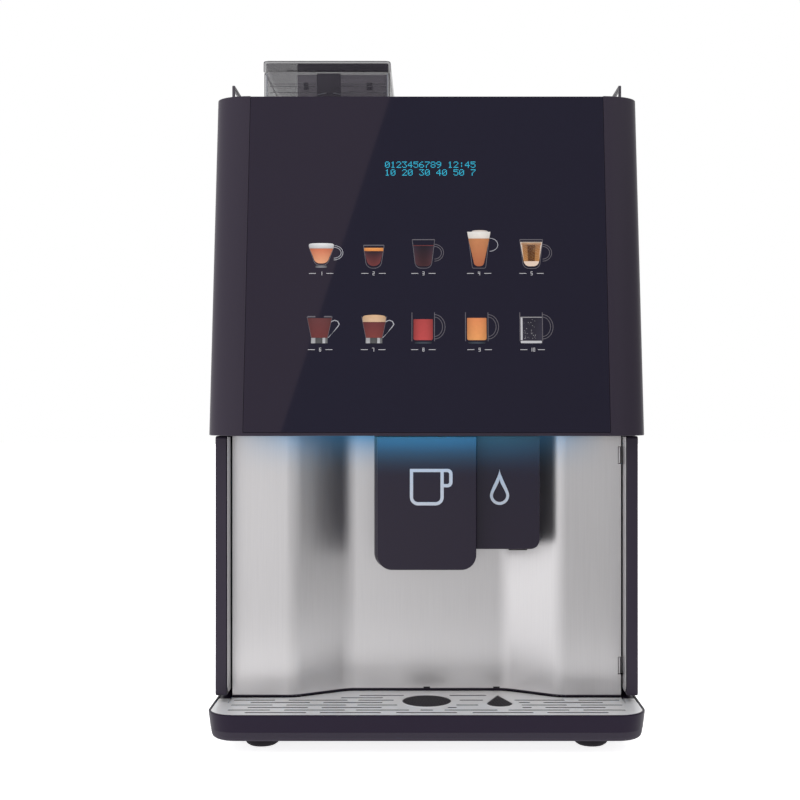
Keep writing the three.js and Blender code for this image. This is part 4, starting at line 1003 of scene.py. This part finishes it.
def draw_cappuccino(x):
    fill("drink_1_coffee", side_view(x, 517.6, 501.8, 12.2, 8, 6.5), (0.76, 0.36, 0.2), (0.6, 0.17, 0.09),
         0.3)
    foam = [(x - 12.4, 517.4), (x + 12.4, 517.4), (x + 13.1, 521.8)] + dome(x, 12.6, 521.8, 523.2)
    fill("drink_1_foam", foam + [(x - 13.1, 521.8)], (0.5, 0.49, 0.5), (0.8, 0.8, 0.81), 0.25)
    glass_line("drink_1_glass", x, 521, 499.6, 13.8, 8.4, 7)
    fill("drink_1_foot", bar(x, 6, 497.3, 499.6, 0.8), (0.26, 0.26, 0.28), (0.1, 0.1, 0.11), 0.6)
    loop_handle("drink_1_handle", x + 13, 513, 9.7, 7.9, "bright_line", 1.9)


def draw_espresso(x):
    fill("drink_2_body", side_view(x, 514.8, 499.2, 9.7, 7.4, 7), (0.15, 0.035, 0.035), (0.02, 0.012, 0.02),
         -0.8)
    glass_line("drink_2_line", x, 514.6, 499, 9.9, 7.4, 7, "red_line", 0.8)
    fill("drink_2_crema", bar(x, 9.9, 514.7, 518.2, 0.3), (0.72, 0.24, 0.06), (0.8, 0.33, 0.1), 0.2)
    glass_line("drink_2_glass", x, 521, 496.4, 11, 8.6, 7.5)
    decal("drink_2_rim", bar(x, 10.6, 520.4, 521.4, 0.3))


def draw_americano(x):
    fill("drink_3_body", side_view(x, 520.5, 498.7, 10.5, 8.4, 5), (0.05, 0.018, 0.022), (0.014, 0.01, 0.018),
         -1.2)
    decal("drink_3_line", bar(x, 10.6, 520.3, 521, 0.2), "red_line", lift=0.18)
    glass_line("drink_3_glass", x, 527, 496.4, 12, 9, 6.5)
    decal("drink_3_rim", bar(x, 11.6, 526.4, 527.3, 0.3))
    loop_handle("drink_3_handle", x + 11.4, 513, 9.8, 9.2, double=2.2)


def draw_latte(x):
    fill("drink_4_coffee", side_view(x, 528.2, 498.8, 10.9, 5.4, 4.5), (0.42, 0.13, 0.06), (0.56, 0.23, 0.1),
         0.25)
    fill("drink_4_foam", band(x, 12.1, 10.9, 535.2, 528, 535.2, 528), (0.75, 0.68, 0.62), (0.84, 0.81, 0.78),
         0.2)
    fill("drink_4_mound", dome(x + 1, 8.5, 535, 537), (0.76, 0.72, 0.69), (0.62, 0.52, 0.47), 0.2)
    glass_line("drink_4_glass", x, 527, 496.4, 10.8, 7.3, 2)
    loop_handle("drink_4_handle", x + 11.2, 521.5, 8.8, 7.2, "bright_line")


def draw_au_lait(x):
    fill("drink_5_milk", side_view(x, 524.4, 498.7, 11.4, 8, 6), (0.78, 0.6, 0.48), (0.8, 0.7, 0.62), 0.1)
    fill("drink_5_coffee", band(x, 9.6, 8, 521.5, 503.8, 521.5, 504), (0.5, 0.23, 0.08), (0.42, 0.19, 0.08),
         -0.35)
    fill("drink_5_core", band(x, 4.2, 3.4, 521.5, 504, 521.3, 504.2), (0.26, 0.09, 0.06), (0.22, 0.07, 0.06),
         0.05)
    fill("drink_5_crema", bar(x, 10.4, 521.2, 524, 0.5), (0.68, 0.33, 0.14), (0.8, 0.47, 0.27), 0.1)
    glass_line("drink_5_glass", x, 527, 496.1, 12.2, 9.2, 6.5)
    decal("drink_5_rim", bar(x, 11.8, 526.4, 527.3, 0.3))
    loop_handle("drink_5_handle", x + 11.6, 513, 9.9, 9.2, double=2.2)


def draw_tapered(number, x, top, low_color, high_color):
    """A tapered glass in a metal foot, with a wire handle."""
    name = f"drink_{number}_"
    fill(name + "body", band(x, 12.6, 8.2, 444.6, 424, top, 424), low_color, high_color, 0.3)
    glass_line(name + "glass", x, 446, 424, 13.2, 8.7, 0.4)
    for i, (a, b, grey) in enumerate(((-8.5, -4, 0.42), (-4, 3.2, 0.09), (3.2, 6.2, 0.5), (6.2, 8.5, 0.16))):
        low_grey, high_grey = (grey, grey, grey * 1.04), (grey * 0.8, grey * 0.8, grey * 0.84)
        fill(f"{name}foot_{i}", rect(x + a, 418.3, x + b, 423.9), low_grey, high_grey, 0.2)
    straight_handle(name + "handle", x, 424)


def draw_chocolate(x):
    draw_tapered(6, x, 444.4, (0.15, 0.034, 0.034), (0.13, 0.04, 0.042))
    for i, s in enumerate((-1, 1)):
        decal(f"drink_6_rim_{i}", rect(x + s * 8.4 - 4, 445.2, x + s * 8.4 + 4, 446.6, 0.3))


def draw_mocha(x):
    draw_tapered(7, x, 440.4, (0.2, 0.045, 0.04), (0.15, 0.035, 0.04))
    cream = [(x - 11.6, 440.2), (x + 11.6, 440.2), (x + 12.2, 445)] + dome(x, 11.8, 445, 447.8)
    fill("drink_7_cream", cream + [(x - 12.2, 445)], (0.68, 0.46, 0.3), (0.66, 0.42, 0.25), 0.3)


def draw_straight(number, x, top, low_color, high_color, sides):
    """A straight glass mug, filled up to top."""
    name = f"drink_{number}_"
    if high_color:
        fill(name + "body", bar(x, 10, 421.5, top, (2, 2, 0.6, 0.6)), low_color, high_color, sides)
    for side, s in (("left", -1), ("right", 1)):
        decal(f"{name}{side}", rect(x + s * 11.6 - 0.35, 420.4, x + s * 11.6 + 0.35, 450.4, 0.2))
    fill(name + "foot", bar(x, 9, 418, 420, 0.9), (0.06, 0.075, 0.1), (0.03, 0.035, 0.05), 0.7)
    loop_handle(name + "handle", x + 11.6, 435.4, 11.2, 13, double=2.6)


def draw_hot_water(x):
    draw_straight(10, x, 445.5, None, None, 0)
    fill("drink_10_water", bar(x, 11, 421.5, 445.5, 0.6), (0.025, 0.022, 0.036), (0.018, 0.016, 0.028), -0.5)
    decal("drink_10_shine", rect(x - 10.9, 421.5, x - 8.9, 445.4, 0.6), "label", lift=0.2)
    decal("drink_10_surface", bar(x, 11, 444.9, 445.7, 0.3), "metal", lift=0.2)
    decal("drink_10_base", bar(x, 11, 418.4, 420.9, 1.2), "label", lift=0.2)
    bubbles, low, spread = 34, 423, 20
    for i in range(bubbles):
        px, pz = x + random.uniform(-8, 6), low + spread * random.random() ** 1.4
        decal(f"drink_10_bubble_{i}", circle(px, pz, random.uniform(0.18, 0.42), 8), "metal", lift=0.22)


def build_drinks():
    """Ten pictures of drinks, each over its number."""
    a, b, c, d, e = CUP_XS
    draw_cappuccino(a)
    draw_espresso(b)
    draw_americano(c)
    draw_latte(d)
    draw_au_lait(e)
    draw_chocolate(a - 0.9)
    draw_mocha(b + 0.9)
    draw_straight(8, c - 0.2, 443.3, (0.5, 0.07, 0.07), (0.42, 0.06, 0.06), 0.45)
    draw_straight(9, d - 2.7, 444.6, (0.8, 0.34, 0.12), (0.75, 0.26, 0.1), 0.35)
    draw_hot_water(e - 1.1)
    for row, z in enumerate(LABEL_ROWS):
        for column, x in enumerate(CUP_XS):
            build_label(row * 5 + column + 1, x, z)


SEGMENTS = {
    "0": "abcdef", "1": "bc", "2": "abged", "3": "abgcd", "4": "fgbc",
    "5": "afgcd", "6": "afgedc", "7": "abc", "8": "abcdefg", "9": "abcdfg",
}


def digit_bars(text, x, z, height, width, weight, gap):
    """The bars of numerals, as rectangles, from left to right."""
    bars = []
    for i, char in enumerate(text):
        x0 = x + i * (width + gap)
        x1, z1, zm = x0 + width, z + height, z + height / 2
        places = {
            "a": (x0, z1 - weight, x1, z1),
            "b": (x1 - weight, zm, x1, z1),
            "c": (x1 - weight, z, x1, zm),
            "d": (x0, z, x1, z + weight),
            "e": (x0, z, x0 + weight, zm),
            "f": (x0, zm, x0 + weight, z1),
            "g": (x0, zm - weight / 2, x1, zm + weight / 2),
        }
        bars += [rect(*places[s]) for s in SEGMENTS[char]]
    return bars


def build_label(number, x, z):
    """A drink's number between two short bars."""
    text = str(number)
    width = len(text) * 2.1 + (len(text) - 1) * 0.9
    bars = digit_bars(text, x - width / 2, z - 2, 4, 2.1, 0.55, 0.9)
    bars += [rect(x + s * 9 - 3.6, z - 0.3, x + s * 9 + 3.6, z + 0.3) for s in (-1, 1)]
    low, high = DOOR_FRONT - PRINT_LIFT, DOOR_FRONT + PRINT_DEPTH
    meshes = [plate(bar, low, high, "Y", edge=0.01, steps=1) for bar in bars]
    finished(f"drink_{number}_label", bent(merged(*meshes), raked), "label", "front_door", "glass")


FONT = {
    "0": "01110 10001 10011 10101 11001 10001 01110", "1": "00100 01100 00100 00100 00100 00100 01110",
    "2": "01110 10001 00001 00010 00100 01000 11111", "3": "11111 00010 00100 00010 00001 10001 01110",
    "4": "00010 00110 01010 10010 11111 00010 00010", "5": "11111 10000 11110 00001 00001 10001 01110",
    "6": "00110 01000 10000 11110 10001 10001 01110", "7": "11111 00001 00010 00100 01000 01000 01000",
    "8": "01110 10001 10001 01110 10001 10001 01110", "9": "01110 10001 10001 01111 00001 00010 01100",
    ":": "00000 00100 00100 00000 00100 00100 00000",
}


def build_display():
    """Two rows of numerals and signs on a dot matrix behind the glass."""
    b = bmesh.new()
    left, pitch, step_x, step_z = -43.8, 6.0, 1.02, 0.98
    for text, top in (("0123456789 12:45", 610.6), ("10 20 30 40 50 7", 602.2)):
        for i, char in enumerate(text):
            for row, bits in enumerate(FONT.get(char, "").split()):
                for column, bit in enumerate(bits):
                    if bit == "1":
                        x, z = left + i * pitch + column * step_x, top - row * step_z
                        add_dot(b, x, z, 0.82, 0.8)
    finished("display_dots", bent(finished_mesh(b), raked), "screen", "front_door", "light")


def add_dot(b, x, z, width, height):
    """A small block on the glass, with its upper left corner at x and z."""
    y0, y1 = DOOR_FRONT - PRINT_LIFT, DOOR_FRONT + PRINT_DEPTH
    square = ((0, 0), (1, 0), (1, 1), (0, 1))
    corners = [b.verts.new((x + u * width, y, z - v * height)) for y in (y0, y1) for u, v in square]
    for face in ((0, 1, 2, 3), (4, 5, 6, 7), (0, 1, 5, 4), (1, 2, 6, 5), (2, 3, 7, 6), (3, 0, 4, 7)):
        b.faces.new([corners[i] for i in face])


# ---------------------------------------------------------------- hopper


def build_hopper():
    (x0, y0, _), (x1, y1, top) = box_mm("hopper_bin")
    wall = HOPPER_WALL
    inner = rect(x0 + wall, y0 + wall, x1 - wall, y1 - wall, 4)
    walls = plate(rect(x0, y0, x1, y1, 6), HOPPER_FLOOR, top, holes=[inner], edge=0.4)
    hopper_part("hopper_walls", walls, "smoked", replaces="hopper_bin")
    build_hopper_funnel(x0, y0, x1, y1)
    build_hopper_fittings(x0, y0 + wall, x1, top)
    build_hopper_lid()
    coat_node("hopper_gate", "black", 0.3)


def build_hopper_funnel(x0, y0, x1, y1):
    """The hopper's floor and the funnel down to the grinder, with the gate's sleeve."""
    cx, cy = (x0 + x1) / 2, (y0 + y1) / 2
    mouth = rect(cx - 46, cy - 64, cx + 46, cy + 64, 4)
    floor = plate(rect(x0 + 1, y0 + 1, x1 - 1, y1 - 1, 5), HOPPER_FLOOR, HOPPER_FLOOR + 2.5, holes=[mouth],
                  edge=0.2)
    hopper_part("hopper_floor", floor, "column")
    top = HOPPER_FLOOR + 2
    levels = [(48, 66, top), (20.5, 20.5, 650), (20.5, 20.5, 626), (18, 18, 626), (18, 18, 650),
              (46, 64, top)]
    square = ((-1, -1), (1, -1), (1, 1), (-1, 1))
    b = bmesh.new()
    rings = [[b.verts.new((cx + u * a, cy + v * c, z)) for u, v in square] for a, c, z in levels]
    join_rings(b, rings + rings[:1])
    funnel = finished_mesh(b)
    sleeve = plate(rect(cx - 20.5, cy - 30, cx + 20.5, cy - 18), 633, 643, edge=0.3)
    gate_room = cuboid((cx - 18, cy - 60, 636.7), (cx + 18, cy + 18.9, 639.3), 0.05)
    hopper_part("hopper_funnel", merged(cut(funnel, gate_room), cut(sleeve, gate_room)), "column")


def build_hopper_fittings(x0, y, x1, top):
    """What shows through the front wall: a sheet of painted shade, the feed column with a painted highlight,
    ledges, clips and the wall's edges.
    """
    left, right = -121.4, -94.9
    rim_middle, rim_top = -107, 698.6
    # An opaque grey sheet behind the wall, right of x = -142.5: painted shade, so that the bin reads darker
    # there than in its left part, which looks lit by a reflection.
    screen = plate(rect(-142.5, y + 3.2, x1 - 3, y + 4.4), HOPPER_FLOOR + 3, top - 1.5, edge=0.2)
    hopper_part("hopper_shade_sheet", screen, "screen_wall")
    column = plate(rect(left, y + 0.9, right, y + 20, 2), HOPPER_FLOOR + 2.6, top - 0.4, edge=0.4)
    hopper_part("hopper_post", column, "column")
    # Two thin light grey arcs before the column's foot: a painted highlight on the rim of a round collar.
    for i, (a, b) in enumerate(((-121, -110.5), (-103, -95.2))):
        xs = [a + (b - a) * k / 6 for k in range(7)]
        sweep = [(x, y + 0.55, rim_top - 0.0125 * (x - rim_middle) ** 2) for x in xs]
        hopper_part(f"column_rim_highlight_{i}", tube(sweep, 0.32, 8), "icon")
    for i, z in enumerate((708.4, 705.8, 698.9)):
        for j, (a, b) in enumerate(((x0 + 6, left - 0.5), (right + 0.5, x1 - 4))):
            bar = plate(rect(a, y + 0.25, b, y + 0.85), z - 0.35, z + 0.35, edge=0.1)
            hopper_part(f"hopper_ledge_{i}_{j}", bar, "edge")
    clips = ((-135.6, -130.4, 702.3, 710.2, "column"), (-66.2, -60, 702.3, 710.2, "column"),
             (-86.6, -80.4, 701, 707.2, "screen_wall"))
    for i, (a, b, low, high, material) in enumerate(clips):
        hopper_part(f"hopper_clip_{i}", plate(rect(a, y + 0.9, b, y + 2.9, 0.4), low, high, edge=0.3),
                    material)
    lines = (("hopper_seam", (x0 + 0.2, x1 - 0.7), 0.5, 0.1, "column"),
             ("hopper_wall_edge", (x0 + 2.2, x1 - 3.4), 1.1, 0.2, "icon"))
    for name, xs, width, edge, material in lines:
        for i, x in enumerate(xs):
            line = plate(rect(x, y + 0.3, x + width, y + 2), HOPPER_FLOOR + 3, top - 0.6, edge=edge)
            hopper_part(f"{name}_{i}", line, material)


def build_hopper_lid():
    (x0, y0, z0), (x1, y1, z1) = box_mm("hopper_lid")
    wall = HOPPER_WALL
    outer = plate(rect(x0, y0, x1, y1, 7), z0, z1, edge=2.2, steps=5)
    inner = plate(rect(x0 + wall, y0 + wall, x1 - wall, y1 - wall, 5), z0 - 2, z1 - wall, edge=0.1)
    hopper_part("hopper_cap", cut(outer, inner), "lid", "hopper_lid", replaces="hopper_lid")
    y = y0 + wall + 0.3
    # A dark sheet inside the lid's front wall, right of x = -142.3: painted shade, so that only the lid's
    # left part looks lighter, as lit by a reflection.
    dark = rect(-142.3, z0 + 0.6, x1 - wall - 0.6, z1 - wall - 0.2)
    hopper_part("lid_shade", plate(dark, y, y + 1.2, "Y", edge=0.2), "column", "hopper_lid")
    rim = rect(x0 + 0.4, z0 + 0.3, x1 - 0.4, z1 - 0.3, (0.2, 0.2, 2.2, 2.2))
    opening = rect(x0 + 1, z0 - 1, x1 - 1, z1 - 0.8, (0.2, 0.2, 1.8, 1.8))
    line = cut(plate(rim, y0 + 2.6, y0 + 3, "Y", edge=0.05), plate(opening, y0, y0 + 5, "Y", edge=0.05))
    hopper_part("lid_rim_line", line, "column", "hopper_lid")
    ledge = rect(-154, z0 + 0.9, -122, z0 + 2.2)
    hopper_part("lid_ledge", plate(ledge, y - 0.2, y - 0.05, "Y", edge=0.02), "edge", "hopper_lid")


# ---------------------------------------------------------------- inside


def build_inside():
    looks = {
        ("black", 0): ("whipper", "coffee_nozzle"),
        ("black", 0.2): ("power_inlet", "power_rocker"),
        ("black", 0.5): ("waste_bin",),
        ("black", 0.6): ("service_lid",),
        ("grey", 0): ("mixing_bowl",),
        ("grey", 0.4): ("brew_frame",),
        ("insulation", 0): ("boiler",),
        ("motor", 0): ("grinder_housing", "auger_drive", "mixer_motor"),
        ("silicone", 0): ("coffee_hose",),
        ("zinc", 0): ("grinder_burr", "brew_piston", "water_spout", "water_inlet"),
        ("zinc", 0.5): ("power_supply",),
    }
    for (material, bevel), nodes in looks.items():
        for node in nodes:
            coat_node(node, material, bevel)
    for kind, _, _ in POWDERS:
        coat_node("canister_" + kind, "clear")
        coat_node("auger_" + kind, "grey")
        low, high = box_mm("canister_" + kind)
        heap = cuboid((low[0] + 3, low[1] + 3, 531), (high[0] - 3, high[1] - 3, 612), 1)
        finished(kind + "_powder", heap, kind, "cabinet", "clear_canister")


def screw(name, axis, u, v, w, out):
    """A domed screw head with a cross recess, standing on the face at w and pointing out along the axis."""
    head = [(0, -0.3), (3.5, -0.3), (3.5, 0.4), (2.9, 1.0), (1.6, 1.3), (0, 1.35)]
    made = lathe(u, v, [(r, w + out * h) for r, h in head], 24, axis)
    low, high = sorted((w + out * 0.75, w + out * 3))
    bars = [rect(u - a, v - b, u + a, v + b) for a, b in ((2, 0.4), (0.4, 2))]
    recess = [plate(bar, low, high, axis, edge=0.01, steps=1) for bar in bars]
    finished(name, cut(made, *recess), "zinc", "cabinet", "steel")


def build_screws():
    rear = box_mm("rear_panel")[1][1]
    side = box_mm("side_panel_right")[1][0]
    top = box_mm("top_cover")[1][2]
    for row, z in enumerate((28, 346, 664)):
        for column, x in enumerate((-208, 208)):
            screw(f"rear_screw_{row}_{column}", "Y", x, z, rear, 1)
    for column, s in enumerate((-1, 1)):
        for row, (y, z) in enumerate(((-150, 28), (258, 28), (-150, 664), (258, 664))):
            screw(f"side_screw_{column}_{row}", "X", y, z, s * side, s)
        for row, y in enumerate((-158, 262)):
            screw(f"top_screw_{column}_{row}", "Z", s * 207, y, top, 1)


def build_rear_plate():
    """The blank rating plate on the back, with a raised rim and two rivets."""
    rear = box_mm("rear_panel")[1][1]
    field = plate(rect(78, 62, 148, 102, 2), rear - 0.1, rear + 0.5, "Y", edge=0.15)
    rim = plate(rect(78, 62, 148, 102, 2), rear + 0.3, rear + 0.9, "Y", [rect(80, 64, 146, 100, 1.2)], 0.15)
    rivets = [rod(x, 82, rear + 0.3, rear + 1.1, 1.1, "Y", 0.3, 16) for x in (83, 143)]
    finished("rating_plate", merged(field, rim, *rivets), "zinc", "cabinet", "steel")


build_cabinet()
build_screws()
build_rear_plate()
build_base()
build_tray()
build_grid()
build_station()
build_coffee_cover()
build_water_cover()
build_door()
build_drinks()
build_display()
build_hopper()
build_inside()
